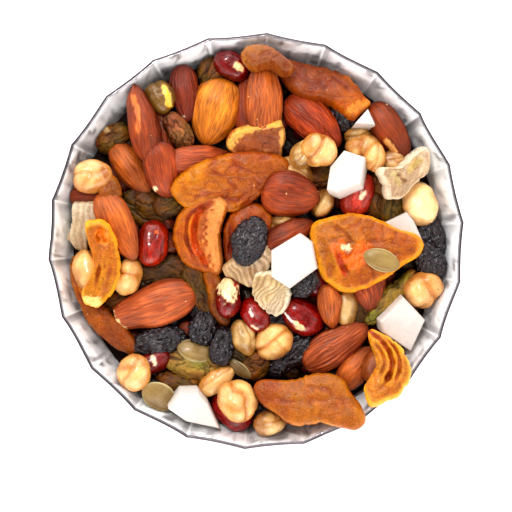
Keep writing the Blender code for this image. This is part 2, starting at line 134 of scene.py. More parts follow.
def outerProfile(rise):
    step = 0.001
    radius, height = innerProfile(rise)
    low, high = np.array(innerProfile(max(0.0, rise - step))), np.array(innerProfile(rise + step))
    along = (high - low) / np.linalg.norm(high - low)
    return radius + bowlValues["sheet"] * along[1], max(0.0, height - bowlValues["sheet"] * along[0])


def wallHeight(radius):
    b = bowlValues
    share = (radius - b["footRadius"]) / (b["rimRadius"] - b["sheet"] - b["footRadius"])
    return b["sheet"] + (b["height"] - b["sheet"]) * np.clip(share, 0, 1) ** (2 / b["wallCurve"])


def panelFactor(angle):
    pitch = 2 * math.pi / bowlValues["panels"]
    across = (angle - math.radians(bowlValues["turnDeg"])) % pitch - pitch / 2
    return math.cos(pitch / 2) / np.cos(across)


def clearRadius(height, angle):
    b = bowlValues
    rise = np.sqrt(np.clip((height - b["sheet"]) / (b["height"] - b["sheet"]), 0.0, 1.0))
    factor = 1 - smooth(b["panelStart"], 1.0, rise) * (1 - panelFactor(angle))
    return innerProfile(rise)[0] * factor - b["dishing"] * rise ** 2 - heapValues["wallGap"]


def narrowestRadius(height):
    return clearRadius(height, math.radians(bowlValues["turnDeg"]) + math.pi / bowlValues["panels"])


def coreTop(radius):
    low = bowlValues["height"] - heapValues["edgeBelowRim"]
    high = bowlValues["height"] - heapValues["crownBelowRim"]
    return low + (high - low) * (1 - np.clip(radius / bowlValues["rimRadius"], 0, 1) ** 2)


def coreEdge():
    radius = narrowestRadius(bowlValues["height"] - heapValues["edgeBelowRim"])
    height = float(coreTop(radius))
    return float(narrowestRadius(height)), height


def fromPhoto(x, y):
    along = (x - photo["centreX"]) / photo["perMm"]
    across = (photo["centreY"] - y) / photo["perMm"]
    height = float(coreTop(math.hypot(along, across))) + photo["usualRest"]
    nearer = 1 + (bowlValues["height"] - height) / photo["eyeAboveRim"]
    return along * nearer, across * nearer


def toPhoto(points):
    away = photo["eyeAboveRim"] + bowlValues["height"] - points[:, 2]
    scale = photo["perMm"] * photo["eyeAboveRim"] / away
    return np.column_stack([photo["centreX"] + points[:, 0] * scale, photo["centreY"] - points[:, 1] * scale])


# The pieces from the lowest to the highest, as read off the photograph, and three hazelnuts that only
# carry what lies over them. A nut, raisin or seed has its place, its
# turn in degrees with an almond's tip leading, its length, width and height, and its looks. A slab
# has its height, its outline and its looks. Marks are strokes: radius, colour and places.
Piece = namedtuple("Piece", "kind x y turn length width height looks")
Slab = namedtuple("Slab", "kind height outline onRim looks")
usualHeights = {
    "almond": 8.0, "chickpea": 9.0, "hazelnut": 10.5, "peanut": 9.0, "raisin": 6.5, "greenRaisin": 6.0,
    "seed": 2.4,
}


def nut(kind, x, y, turn, length, width, height=None, **looks):
    return Piece(kind, x, y, turn, length, width, height or usualHeights[kind], looks)


almond, chickpea, hazelnut, peanut, raisin, greenRaisin, seed = (partial(nut, kind) for kind in usualHeights)


def slab(kind, height, *outline, onRim=False, **looks):
    return Slab(kind, height, outline, onRim, looks)


def starRound(x, y, outer, inner, points=6):
    # the outline of a small flake with uneven arms
    turns = [math.pi * (k + 0.25 * math.sin(2.7 * k)) / points for k in range(2 * points)]
    reaches = [(inner if k % 2 else outer * (1 - 0.22 * math.sin(1.9 * k) ** 2)) for k in range(2 * points)]
    return [(x + r * math.cos(a), y + r * math.sin(a)) for a, r in zip(turns, reaches)]


layout = [
    almond(160, 130, 92, 22, 10, tone="deep"),
    raisin(343, 113, -45, 14, 10),
    greenRaisin(322, 174, 20, 13, 9),
    greenRaisin(115, 302, 10, 11, 8),
    peanut(316, 281, -60, 13, 9, tone="dark"),
    greenRaisin(384, 183, 80, 13, 8),
    almond(92, 195, 5, 16, 9, tone="deep"),
    greenRaisin(163, 270, 8, 17, 10, tone="dark"),
    almond(249, 106, 92, 23, 10, tone="plain", ridges=0.3),
    greenRaisin(360, 311, -80, 14, 7, tone="dark"),
    chickpea(394, 162, 20, 9, 8, tone="caramel"),
    greenRaisin(376, 207, 85, 10, 6, tone="dark"),
    chickpea(323, 204, 60, 9, 7, tone="caramel"),
    chickpea(296, 170, -35, 11, 8, tone="caramel"),
    chickpea(283, 225, 10, 8, 7, tone="caramel"),
    raisin(276, 318, 10, 12, 8),
    greenRaisin(236, 356, -30, 12, 8, tone="dark"),
    greenRaisin(198, 287, -65, 18, 8),
    slab(
        "apricot", 6,
        (202, 272), (214, 270), (222, 285), (228, 305), (230, 322), (222, 326), (210, 312), (206, 292),
        tones=("#914C07", "#6C3505"), sweep=((208, 280), (226, 320)),
        folds=((0.5, 0.7, (208, 276), (216, 296), (224, 318)),),
    ),
    slab(
        "apricot", 7,
        (224, 225), (240, 206), (258, 203), (272, 215), (272, 235), (262, 250), (240, 268), (226, 262),
        tones=("#A34903", "#7D2E02"), sweep=((232, 215), (236, 262)),
        folds=((0.7, 0.8, (230, 222), (232, 240), (228, 258)),),
    ),
    almond(288, 235, 27, 18, 9, tone="deep"),
    greenRaisin(146, 207, -20, 17, 12),
    greenRaisin(173, 200, 30, 14, 9),
    almond(131, 246, -78, 17, 8, tone="deep", ridges=0.34),
    greenRaisin(
        105, 132, 35, 12, 8, marks=((6, "#6E3024", (89, 139), (91, 143)), (3, "#B89A68", (107, 130))),
    ),
    chickpea(160, 97, -60, 10.5, 9, tone="olive", marks=((3.4, "#E6B23C", (164, 88), (168, 97), (169, 104)),)),
    greenRaisin(210, 68, 80, 11, 8),
    peanut(232, 66, -25, 12.5, 9, tone="dark", marks=((3.6, "#E2B27E", (237, 65), (241, 69)),)),
    greenRaisin(178, 131, -60, 13, 8, 6.5, tone="brown"),
    slab(
        "apricot", 8,
        (69, 258), (82, 262), (86, 290), (95, 303), (106, 310), (120, 325), (134, 342), (133, 356),
        (118, 352), (105, 343), (90, 330), (78, 308), (69, 284),
        tones=("#9F5603", "#803C02"), torn=0.4, sweep=((76, 270), (125, 346)),
        folds=(
            (0.5, 0.7, (73, 268), (78, 294), (92, 318), (112, 336)),
            (0.4, 0.6, (80, 276), (88, 302), (104, 320), (122, 340)),
        ),
    ),
    slab(
        "ginger", 7,
        (73, 203), (82, 200), (99, 203), (100, 220), (90, 232), (88, 250), (80, 251), (68, 238),
        (73, 222),
        tones=("#C6B398", "#B19876"), sweep=((84, 205), (80, 248)), fibres=(85, 2.2, 0.16, 1.5),
    ),
    slab(
        "apricot", 6, (100, 178), (108, 173), (118, 181), (122, 196), (112, 200), (100, 197),
        tones=("#9C5602", "#7C4102"), sweep=((104, 180), (118, 196)),
    ),
    peanut(153, 362, 30, 12, 8, tone="dark", marks=((2.2, "#E8C8A8", (152, 357), (155, 364)),)),
    greenRaisin(180, 386, -14, 17, 9),
    raisin(153, 394, -30, 10, 7, 6),
    seed(155, 403, -35, 12.5, 9, tone="tan"),
    raisin(261, 412, 10, 9, 8),
    chickpea(269, 422, 12, 10, 8, tone="caramel"),
    peanut(233, 411, -42, 15, 11),
    greenRaisin(255, 366, 20, 9.5, 9),
    seed(240, 369, -40, 9, 4, tone="grey"),
    chickpea(346, 307, 85, 11, 7.5, tone="toasted"),
    almond(368, 285, -80, 18, 12, tone="pink", ridges=0.4),
    raisin(437, 238, 100, 14, 10),
    raisin(430, 262, -60, 13, 9),
    greenRaisin(391, 207, 80, 10, 8.5),
    almond(184, 92, -85, 18.5, 9.5, tone="dark", ridges=0.2, marks=((1.6, "#D8B8A0", (184, 116)),)),
    # the orange stroke along this almond's keel is a painted highlight
    almond(
        141, 121, 102, 25, 10, 11, tone="deep", ridges=0.08, keel=0.8,
        marks=((2.8, "#CC6A28", (133, 96), (137, 112), (139, 132)),),
    ),
    almond(131, 169, -53, 19.5, 9.5, tone="orange", ridges=0.08),
    almond(163, 171, -75, 18, 12, tone="plain", ridges=0.34, marks=((2.4, "#E8CBA0", (155, 189)),)),
    almond(199, 160, 8, 22, 10, tone="pink", ridges=0.36),
    chickpea(92, 177, 10, 12, 10.5, tone="pale", marks=((3.2, "#A05A1C", (104, 171), (106, 176)),)),
    almond(119, 226, -64, 24, 11.5, tone="orange", ridges=0.26),
    # the orange-red mark on this peanut is a painted highlight
    peanut(153, 243, 80, 15, 10.5, tone="bright", marks=((2.2, "#C85A28", (157, 232)),)),
    chickpea(128, 277, 75, 11.5, 8.5, cleft=("across", 0.35)),
    chickpea(89, 270, -80, 13, 9.5, cleft=("along", 0.5)),
    almond(215, 112, -107, 22, 16, tone="golden", ridges=0.16),
    almond(264, 97, 90, 24, 12.5, 9, tone="orange", ridges=0.42),
    almond(314, 121, -43, 22.5, 13, tone="red", ridges=0.36),
    chickpea(357, 135, 20, 8, 6.5, 7, tone="toasted"),
    almond(
        390, 131, -57, 21, 10.5, 10, tone="deep", ridges=0.06,
        marks=((2.6, "#E2A05C", (386, 141), (395, 151)),),
    ),
    peanut(358, 195, 68, 15, 10.5, tone="pink", marks=((3.0, "#EBC0A0", (361, 197), (364, 193)),)),
    slab("coconut", 8, (380, 224), (407, 211), (414, 220), (423, 241), (400, 246)),
    greenRaisin(391, 298, 45, 23, 7, tone="light"),
    chickpea(425, 291, 30, 11.5, 11, cleft=("across", 0.42)),
    hazelnut(420, 204, 105, 13.5, 11.5, tone="cream"),
    chickpea(134, 373, 70, 11, 10.5),
    raisin(158, 341, 14, 19, 9),
    greenRaisin(195, 366, -11, 20, 10.5, tone="light"),
    seed(195, 351, -15, 12, 7.5),
    raisin(203, 328, 80, 11.5, 9),
    raisin(223, 347, 85, 12.5, 8),
    peanut(
        228, 297, 85, 13, 8.5, tone="dark",
        marks=((8.6, "#EBCB96", (227, 286), (229, 293)), (1.6, "#A82018", (235, 285))),
    ),
    peanut(
        255, 315, -55, 12, 9,
        marks=((1.3, "#F0D2C0", (250, 312), (253, 316)), (1.4, "#EEC8A8", (252, 326), (258, 329)),),
    ),
    chickpea(243, 337, -70, 11, 7.5, tone="toasted"),
    chickpea(216, 381, 38, 12.5, 6.5, 6.5),
    peanut(
        303, 316, -32, 15, 11.5,
        marks=((1.2, "#F4E4D8", (285, 313), (290, 320), (293, 322)), (3.4, "#EFC890", (296, 324), (301, 328))),
    ),
    almond(330, 307, -83, 14.5, 7.5, tone="orange", ridges=0.3),
    raisin(303, 284, 30, 10, 8),
    raisin(291, 356, 38, 18.5, 8.5),
    almond(357, 368, 50, 16, 10, tone="orange", ridges=0.1),
    slab(
        "ginger", 5,
        (264, 242), (273, 254), (266, 272), (252, 287), (236, 281), (222, 270), (234, 258), (250, 250),
        tones=("#D0B697", "#B99971"), sweep=((262, 250), (232, 272)), fibres=(118, 2.0, 0.28, 2.2),
    ),
    chickpea(273, 342, 35, 11.8, 10.5, cleft=("along", 0.12)),
    slab("coconut", 9, (300, 233), (312, 242), (317, 268), (290, 288), (272, 276), (272, 250)),
    slab("coconut", 8, (178, 392), (196, 392), (206, 404), (218, 431), (184, 422), (166, 408)),
    chickpea(238, 399, -70, 12.8, 12, cleft=("along", 0.1)),
    slab("coconut", 6, (352, 127), (366, 111), (373, 128)),
    slab(
        "apricot", 7,
        (228, 135), (240, 127), (262, 122), (281, 120), (285, 130), (284, 150), (278, 160), (240, 158),
        (226, 148),
        tones=("#A35D2B", "#894B24"), torn=0.4, sweep=((240, 140), (275, 150)), lip=0.7, wrinkle=0.30,
        folds=((0.3, 1.2, (246, 146), (260, 141), (274, 143)),),
        # the thin dark stroke is a painted shadow under the raised rim strip
        marks=(
            (4.2, "#D8A44C", (230, 145), (236, 135), (248, 129), (264, 125), (281, 123)),
            (2.8, "#C8924A", (283, 130), (282, 156)), (1.2, "#8A4A1C", (243, 139), (262, 133), (276, 131)),
        ),
    ),
    slab(
        "apricot", 8,
        (272, 56), (300, 60), (335, 68), (354, 78), (365, 95), (372, 104), (362, 113), (355, 121),
        (343, 113), (330, 103), (302, 96), (286, 82),
        tones=("#803707", "#AA5503"), torn=0.3, sweep=((325, 82), (360, 112)),
        marks=((4.6, "#CC7C28", (349, 112), (359, 106), (368, 102)),),
        folds=((0.3, 1.2, (282, 66), (305, 80), (335, 92)), (0.25, 0.8, (300, 66), (330, 76), (352, 96))),
    ),
    slab(
        "apricot", 9,
        (241, 56), (250, 49), (265, 49), (280, 57), (293, 72), (285, 78), (270, 69), (255, 73),
        (244, 66),
        tones=("#91551A", "#804114"), sweep=((246, 56), (284, 70)),
        lip=0.1, folds=((0.25, 1.0, (256, 64), (268, 61), (280, 68)),),
    ),
    slab(
        "apricot", 8,
        (170, 187), (186, 170), (205, 160), (238, 152), (270, 153), (289, 162), (284, 178), (262, 194),
        (248, 206), (230, 213), (205, 206), (184, 207),
        tones=("#B46A05", "#954705"), sweep=((190, 186), (255, 176)), wrinkle=0.3, lip=0.2,
        folds=(
            (0.5, 0.8, (186, 200), (206, 192), (230, 197), (246, 196)),
            (0.4, 0.7, (222, 158), (244, 168), (262, 186)),
            (0.35, 0.6, (206, 166), (226, 176), (238, 190)),
            (0.4, 0.8, (262, 158), (272, 168), (270, 182)),
        ),
    ),
    chickpea(363, 148, 10, 10.5, 8.5, cleft=("across", -0.1)),
    chickpea(374, 159, 80, 8.5, 6.5, 8),
    slab(
        "ginger", 7,
        (376, 168), (398, 166), (412, 153), (425, 147), (430, 158), (427, 172), (412, 184), (400, 198),
        (386, 198), (382, 184),
        tones=("#C0A586", "#AF906D"), sweep=((420, 158), (392, 182)), lip=0.7, lipTone="#E6DAC0",
        fibres=(70, 1.5, 0.09, 2.0),
        folds=((1.1, 1.6, (393, 172), (402, 184)), (1.1, 1.7, (412, 170), (420, 158)),),
        marks=((3.4, "#B89A5C", (410, 170), (420, 158)), (2.8, "#BCA06A", (394, 174), (400, 184)),),
    ),
    slab("coconut", 9, (345, 153), (366, 161), (362, 188), (338, 197), (328, 193), (331, 170)),
    chickpea(302, 156, 60, 9, 7.5, 8, tone="toasted"),
    chickpea(318, 151, -30, 10.2, 10, cleft=("across", -0.45)),
    almond(
        154, 306, 198, 27.5, 14, 9, tone="light", ridges=0.14, chip=0.955,
        marks=((3.4, "#EFC48C", (112, 313), (115, 322), (124, 331)),),
    ),
    almond(336, 346, 33, 24, 12, tone="light", ridges=0.44),
    # these three aren't seen on the photograph: they carry the apricots over them
    hazelnut(297, 400, 10, 13, 12, 11.5, tone="skin"),
    hazelnut(328, 398, -20, 13, 12, 11.5, tone="skin"),
    hazelnut(389, 377, 62, 13, 11, 11.5, tone="skin"),
    slab(
        "apricot", 7,
        (253, 385), (262, 378), (290, 378), (318, 371), (340, 376), (352, 392), (362, 408), (364, 419),
        (355, 427), (340, 425), (318, 421), (300, 424), (285, 420), (275, 412), (262, 404), (255, 395),
        onRim=True, tones=("#833807", "#9B5508"), sweep=((258, 392), (300, 400)), torn=0.35, sugar=1.0,
        wrinkle=0.10,
        folds=((0.35, 0.9, (262, 396), (290, 400), (325, 398)), (0.3, 0.8, (300, 384), (330, 390), (350, 406))),
    ),
    slab(
        "apricot", 7,
        (367, 327), (383, 333), (400, 346), (408, 365), (406, 381), (396, 394), (382, 401), (368, 404),
        (362, 388), (366, 378), (373, 366), (373, 352), (368, 340),
        onRim=True, tones=("#BD7711", "#B36C14"), torn=0.4, sweep=((372, 340), (385, 395)), lip=0.3,
        lipTone="#F2A82A",
        folds=(
            (1.7, 0.65, (369, 330), (380, 340), (388, 353), (390, 366), (385, 379), (374, 391)),
            (1.0, 0.5, (376, 330), (389, 343), (396, 356), (396, 370), (391, 382)),
            (0.5, 0.5, (372, 341), (380, 352), (382, 364), (376, 378)),
        ),
        # the dark stroke along the deepest fold is painted shade in the crease
        marks=((1.9, "#98400E", (370, 331), (381, 341), (389, 354), (391, 366), (386, 378)),),
    ),
    slab("coconut", 9, (402, 295), (425, 319), (411, 351), (381, 331), (378, 319)),
    slab(
        "apricot", 9,
        (88, 222), (104, 220), (116, 231), (121, 248), (122, 270), (117, 288), (107, 301), (98, 308),
        (87, 303), (84, 292), (92, 276), (95, 258), (90, 240),
        onRim=True, tones=("#B46D03", "#AD730F"), torn=0.4, sweep=((106, 262), (92, 302)), lip=0.6,
        lipTone="#F0A828",
        folds=(
            (1.9, 1.7, (98, 233), (103, 235), (103, 243)),
            (0.7, 0.5, (103, 248), (102, 262), (98, 284)),
            (0.4, 0.5, (112, 244), (112, 268), (106, 290)),
        ),
        marks=((4.0, "#D6781C", (99, 233), (105, 234), (103, 243)), (5.4, "#E4BC70", (90, 300), (97, 303)),),
    ),
    raisin(250, 242, 68, 15.8, 11),
    slab(
        "ginger", 5,
        (262, 271), (280, 272), (290, 285), (290, 300), (283, 313), (272, 314), (258, 303), (252, 290),
        (254, 277),
        tones=("#B99D6F", "#C1AC8D"), sweep=((266, 284), (278, 308)), lip=0.7, lipTone="#F0E8D0",
        fibres=(60, 1.5, 0.22, 5.0),
    ),
    slab(
        "apricot", 9,
        (205, 196), (190, 202), (178, 215), (173, 232), (175, 248), (185, 265), (200, 271), (218, 275),
        (223, 266), (222, 250), (221, 232), (227, 212), (229, 202), (221, 195),
        tones=("#AB5805", "#9B480B"), sweep=((182, 235), (206, 240)), lip=0.35,
        folds=(
            (2.0, 0.75, (212, 200), (201, 211), (196, 226), (197, 240), (203, 254), (210, 270)),
            (0.8, 0.6, (205, 202), (192, 214), (188, 230), (191, 246), (200, 262)),
            (0.4, 0.6, (218, 205), (209, 222), (208, 240), (215, 258)),
        ),
        marks=(
            (7.5, "#CE8240", (222, 203), (215, 216), (212, 234), (215, 252), (219, 266)),
            (3.2, "#BC4A12", (199, 212), (193, 228), (195, 246), (205, 262)),
        ),
    ),
    almond(291, 195, -8, 18.5, 15, 9.5, tone="plain", ridges=0.32),
    slab(
        "apricot", 9,
        (310, 228), (320, 219), (345, 213), (372, 217), (398, 229), (415, 234), (423, 245), (419, 256),
        (405, 265), (385, 278), (362, 290), (342, 293), (327, 285), (317, 268), (311, 250),
        tones=("#A76001", "#9F5201"), torn=0.3, sweep=((325, 240), (390, 262)), lip=0.5, lipTone="#F4A426",
        wrinkle=0.26,
        folds=(
            (1.3, 2.0, (344, 251), (350, 256)),
            (1.3, 0.8, (336, 250), (340, 262), (347, 276)),
            (0.5, 0.6, (355, 262), (350, 270)),
            (0.4, 0.7, (352, 246), (372, 242), (396, 246)),
            (0.35, 0.6, (330, 226), (345, 234), (352, 246)),
        ),
        # the narrow dark stroke is painted shade along a groove
        marks=(
            (9.0, "#D4620E", (340, 248), (356, 262), (362, 250)), (3.2, "#A83A0C", (338, 256), (345, 273)),
            (3.0, "#E8C49C", (344, 247), (348, 250)),
        ),
    ),
    seed(380, 260, -20, 12, 7),
    slab(
        "ginger", 1.7, *starRound(346, 248, 5.2, 2.8), tones=("#F0CFA6", "#E2B080"),
        sweep=((342, 246), (350, 252)),
    ),
]

# Shapes: points round a blank, their faces and what the materials read there


def skinFaces(rows, count, inwards=False):
    # quads between rings and triangles to the two poles, which are the last two points
    row, side = np.divmod(np.arange((rows - 1) * count), count)
    after = (side + 1) % count
    low, high = row * count, (row + 1) * count
    quads = np.column_stack([low + side, low + after, high + after, high + side])
    side = np.arange(count)
    after = (side + 1) % count
    first, last = rows * count, rows * count + 1
    top = (rows - 1) * count
    tris = np.concatenate([
        np.column_stack([np.full(count, first), after, side]),
        np.column_stack([np.full(count, last), top + side, top + after]),
    ])
    return (quads[:, ::-1], tris[:, ::-1]) if inwards else (quads, tris)


def cornersOf(piece):
    return np.array([fromPhoto(x, y) for x, y in piece.outline])


def smoothOutline(corners, steps=8):
    # a closed Catmull-Rom curve
    points = []
    for i in range(len(corners)):
        before, here, after, beyond = (corners[(i + k) % len(corners)] for k in (-1, 0, 1, 2))
        for t in np.arange(steps) / steps:
            bend = 2 * before - 5 * here + 4 * after - beyond
            twist = 3 * here - before - 3 * after + beyond
            points.append(here + (after - before) * t / 2 + bend * t ** 2 / 2 + twist * t ** 3 / 2)
    return np.array(points)


def straightOutline(corners, steps=12):
    sides = zip(corners, np.roll(corners, -1, axis=0))
    return np.concatenate([np.linspace(a, b, steps, endpoint=False) for a, b in sides])


def outlineOf(piece):
    return straightOutline(cornersOf(piece)) if piece.kind == "coconut" else smoothOutline(cornersOf(piece))


def reachOf(piece):
    # the outline as a reach for each angle round its centre
    dense = outlineOf(piece)
    centre = dense.mean(axis=0)
    offset = dense - centre
    angles = np.arctan2(offset[:, 1], offset[:, 0])
    order = np.argsort(angles)
    return centre, angles[order], np.hypot(offset[:, 0], offset[:, 1])[order]


def reachAt(angle, angles, reaches):
    return np.interp(angle, angles, reaches, period=2 * math.pi)


edgePowers = {"coconut": 9.0, "ginger": 5.0, "apricot": 3.2, "seed": 2.6}


def thicknessShare(kind, out):
    power = edgePowers.get(kind, 2.0)
    return np.clip(1 - out ** power, 0.0, 1.0) ** (1 / power)


# How the pieces come to rest, by the same rule as in the part, so each lies where its solid does


def bareGround():
    h = heapValues
    steps = int(bowlValues["rimRadius"] / h["gridStep"]) + h["gridMargin"]
    axis = np.arange(-steps, steps + 1) * h["gridStep"]
    gridX, gridY = np.meshgrid(axis, axis)
    fromAxis = np.hypot(gridX, gridY)
    toCorners = fromAxis / panelFactor(np.arctan2(gridY, gridX))
    metal = fromAxis > coreEdge()[0]
    heights = np.where(metal, wallHeight(toCorners), coreTop(fromAxis))
    heights[toCorners > bowlValues["rimRadius"] - bowlValues["sheet"]] = bowlValues["height"]
    return gridX, gridY, heights, metal, toCorners < bowlValues["rimRadius"]


def shareOut(piece, dx, dy):
    if isinstance(piece, Slab):
        _, angles, reaches = reachOf(piece)
        return np.hypot(dx, dy) / reachAt(np.arctan2(dy, dx), angles, reaches)
    turn = math.radians(piece.turn)
    along = dx * math.cos(turn) + dy * math.sin(turn)
    across = dy * math.cos(turn) - dx * math.sin(turn)
    return np.hypot(2 * along / piece.length, 2 * across / piece.width)


def slopeUnder(dx, dy, heights, steepest):
    terms = np.column_stack([dx, dy, np.ones(len(dx))])
    slope = np.linalg.lstsq(terms, heights, rcond=None)[0][:2] * heapValues["tiltFollowed"]
    return slope * min(1.0, steepest / max(np.hypot(*slope), steepest / 2))


def settle(rows):
    h = heapValues
    gridX, gridY, ground, metal, inside = bareGround()
    for piece in rows:
        isSlab = isinstance(piece, Slab)
        onRim = isSlab and piece.onRim
        x, y = reachOf(piece)[0] if isSlab else fromPhoto(piece.x, piece.y)
        steepest = h["steepestOnRim"] if onRim else h["steepest"]
        for _ in range(h["mostSteps"]):
            dx, dy = gridX - x, gridY - y
            out = shareOut(piece, dx, dy)
            under = (out < 1) & inside
            slope = slopeUnder(dx[under], dy[under], ground[under], steepest)
            plane = slope[0] * dx + slope[1] * dy
            half = piece.height / 2 * thicknessShare(piece.kind, np.minimum(out, 1.0))
            needed = ground - plane + half
            soft, hard = under & ~metal, under & metal
            rest = np.quantile(needed[soft], h["contactShare"]) - h["pressedIn"] if soft.any() else 0.0
            clear = needed[hard].max() + h["wallGap"] if hard.any() else 0.0
            if onRim or clear <= rest + h["leaningLift"]:
                break
            x, y = np.array([x, y]) * (1 - h["inwardStep"] / math.hypot(x, y))
        z = max(rest, clear)
        ground[under] = np.maximum(ground, z + plane + half)[under]
        metal = metal & ~under
        yield piece, x, y, z, slope


def keptOffWall(points):
    radius = np.hypot(points[:, 0], points[:, 1])
    limit = clearRadius(np.minimum(points[:, 2], bowlValues["height"]), np.arctan2(points[:, 1], points[:, 0]))
    low = points[:, 2] <= bowlValues["height"] + heapValues["wallGap"] / 2
    inwards = np.where(low, np.minimum(1.0, limit / np.maximum(radius, 1e-6)), 1.0)
    return points * np.column_stack([inwards, inwards, np.ones(len(points))])


def placed(points, turn, slope, middle):
    up = Vector((-slope[0], -slope[1], 1.0))
    turned = Vector((0, 0, 1)).rotation_difference(up).to_matrix() @ Matrix.Rotation(turn, 3, "Z")
    return keptOffWall(points @ np.array(turned).T + np.array(middle))


def strokeDistance(spots, places):
    # how far each spot is from a line through the places, and how far along it
    places = [np.array(p, float) for p in places]
    nearest, along = np.linalg.norm(spots - places[0], axis=1), np.zeros(len(spots))
    for number, (a, b) in enumerate(zip(places, places[1:])):
        share = np.clip((spots - a) @ (b - a) / ((b - a) @ (b - a)), 0, 1)
        away = np.linalg.norm(spots - a - share[:, None] * (b - a), axis=1)
        along = np.where(away < nearest, (number + share) / (len(places) - 1), along)
        nearest = np.minimum(nearest, away)
    return nearest, along


def softLine(places):
    # more places along a smooth curve through a few
    places = np.array(places, float)
    if len(places) < 3:
        return places
    ends = np.vstack([2 * places[0] - places[1], places, 2 * places[-1] - places[-2]])
    dense = []
    for before, here, after, beyond in zip(ends, ends[1:], ends[2:], ends[3:]):
        for t in (0.0, 0.25, 0.5, 0.75):
            bend = 2 * before - 5 * here + 4 * after - beyond
            twist = 3 * here - before - 3 * after + beyond
            dense.append(here + (after - before) * t / 2 + bend * t ** 2 / 2 + twist * t ** 3 / 2)
    return np.array([*dense, places[-1]])


def paintMarks(points, tint, marks, shift):
    # strokes of another colour with a ragged edge, on the side that faces up
    bare = np.zeros(len(points))
    for radius, colour, *places in marks:
        away = strokeDistance(toPhoto(points), softLine(places))[0]
        away = away + 0.30 * radius * roughNoise(points / 1.1, shift)
        share = 1 - smooth(radius * 0.7, radius * 1.15, away)
        tint = blendOf(tint, np.array(linear(colour)), share)
        bare = np.maximum(bare, share)
    return tint, bare


def writeMesh(name, parts, material):
    # joins the parts, each (points, quads, tris, readings), into one smooth mesh in metres
    start, points, quads, tris = 0, [], [], []
    readings = {key: [] for key in parts[0][3]}
    for spots, fours, threes, read in parts:
        points.append(spots)
        quads.append(fours + start)
        tris.append(threes + start)
        start += len(spots)
        for key in readings:
            readings[key].append(read[key])
    points, quads, tris = (np.concatenate(x) for x in (points, quads, tris))
    mesh = bpy.data.meshes.new(name)
    mesh.vertices.add(len(points))
    mesh.vertices.foreach_set("co", (points * mm).astype(np.float32).ravel())
    mesh.loops.add(quads.size + tris.size)
    mesh.loops.foreach_set("vertex_index", np.concatenate([quads.ravel(), tris.ravel()]).astype(np.int32))
    starts = np.concatenate([np.arange(len(quads)) * 4, len(quads) * 4 + np.arange(len(tris)) * 3])
    mesh.polygons.add(len(starts))
    mesh.polygons.foreach_set("loop_start", starts.astype(np.int32))
    mesh.update(calc_edges=True)
    mesh.shade_smooth()
    forms = {1: ("FLOAT", "value"), 3: ("FLOAT_VECTOR", "vector"), 4: ("FLOAT_COLOR", "color")}
    for key, values in readings.items():
        values = np.concatenate(values).astype(np.float32)
        form, field = forms[1 if values.ndim == 1 else values.shape[1]]
        mesh.attributes.new(key, form, "POINT").data.foreach_set(field, values.ravel())
    if material:
        mesh.materials.append(material)
    made = bpy.data.objects.new(name, mesh)
    bpy.context.scene.collection.objects.link(made)
    return made


# Nuts, raisins and seeds: a blank with its length along X

nutShapes = {
    "almond": {"stations": 37, "upper": 84, "lower": 14},
    "chickpea": {"stations": 44, "upper": 44, "lower": 16},
    "hazelnut": {"stations": 40, "upper": 40, "lower": 16},
    "peanut": {"stations": 48, "upper": 60, "lower": 20},
    "raisin": {"stations": 68, "upper": 66, "lower": 12},
    "greenRaisin": {"stations": 54, "upper": 54, "lower": 10},
    "seed": {"stations": 40, "upper": 36, "lower": 12},
    "broken": {"stations": 12, "upper": 12, "lower": 4},
}
girths = {
    "almond": lambda s: 0.98 * (1 - s) ** 0.62 * (1 + s) ** 0.42,
    "seed": lambda s: (1 - s * s) ** 0.62,
    "oval": lambda s: (1 - s * s) ** 0.45,
}
tones = {
    "almond": {
        "plain": "#943B08", "light": "#AC5323", "orange": "#B45C1D", "golden": "#DC831D", "red": "#AB420F",
        "deep": "#813205", "dark": "#7A2B0D", "pink": "#A94F24",
    },
    "chickpea": {
        # the darker toasted tone is partly browning, partly painted shade for chickpeas that lie partly in shade
        "plain": "#C78D4E", "pale": "#C78B50", "toasted": "#997240", "caramel": "#905F30", "olive": "#6B4A14",
        "skin": "#8E4A1E", "cream": "#F0C68E",
    },
    "peanut": {"plain": "#860A04", "dark": "#6C0502", "bright": "#881701", "pink": "#A12E1E"},
    "raisin": {"plain": "#1F0B09"},
    "greenRaisin": {"plain": "#653D02", "light": "#8F722C", "dark": "#513304", "brown": "#7F4A24"},
    "seed": {"plain": "#8B703D", "tan": "#84693C", "grey": "#705830"},
}
tones["hazelnut"] = tones["chickpea"]
# painted shade: how much darker a piece is low on its flanks
flankShade = {"almond": 0.5, "peanut": 0.4, "raisin": 0.3, "greenRaisin": 0.3, "chickpea": 0.15, "hazelnut": 0.15}


def blankOf(piece):
    # place from -1 to 1 along the piece, the angle round it, and the smooth shape's points
    stations, upper, lower = nutShapes["broken" if piece.looks.get("broken") else piece.kind].values()
    along = -np.cos(math.pi * np.arange(1, stations) / stations)
    turns = np.concatenate([math.pi * np.arange(upper) / upper, math.pi * (1 + np.arange(lower) / lower)])
    sides = upper + lower
    place = np.concatenate([np.repeat(along, sides), [-1.0, 1.0]])
    turn = np.concatenate([np.tile(turns, stations - 1), [0.0, 0.0]])
    girth = girths.get(piece.kind, girths["oval"])(place)
    points = np.column_stack([
        place * piece.length / 2, girth * np.cos(turn) * piece.width / 2, girth * np.sin(turn) * piece.height / 2,
    ])
    size = np.array([piece.length, piece.width, piece.height]) / 2
    out = points / size ** 2
    out /= np.linalg.norm(out, axis=1)[:, None]
    return place, turn, girth, points, out, skinFaces(stations - 1, sides)


almondValues = {"ridges": 26, "waver": 3.8, "ridgeDepth": 0.62, "usualRidges": 0.22, "keelWidth": 0.22}


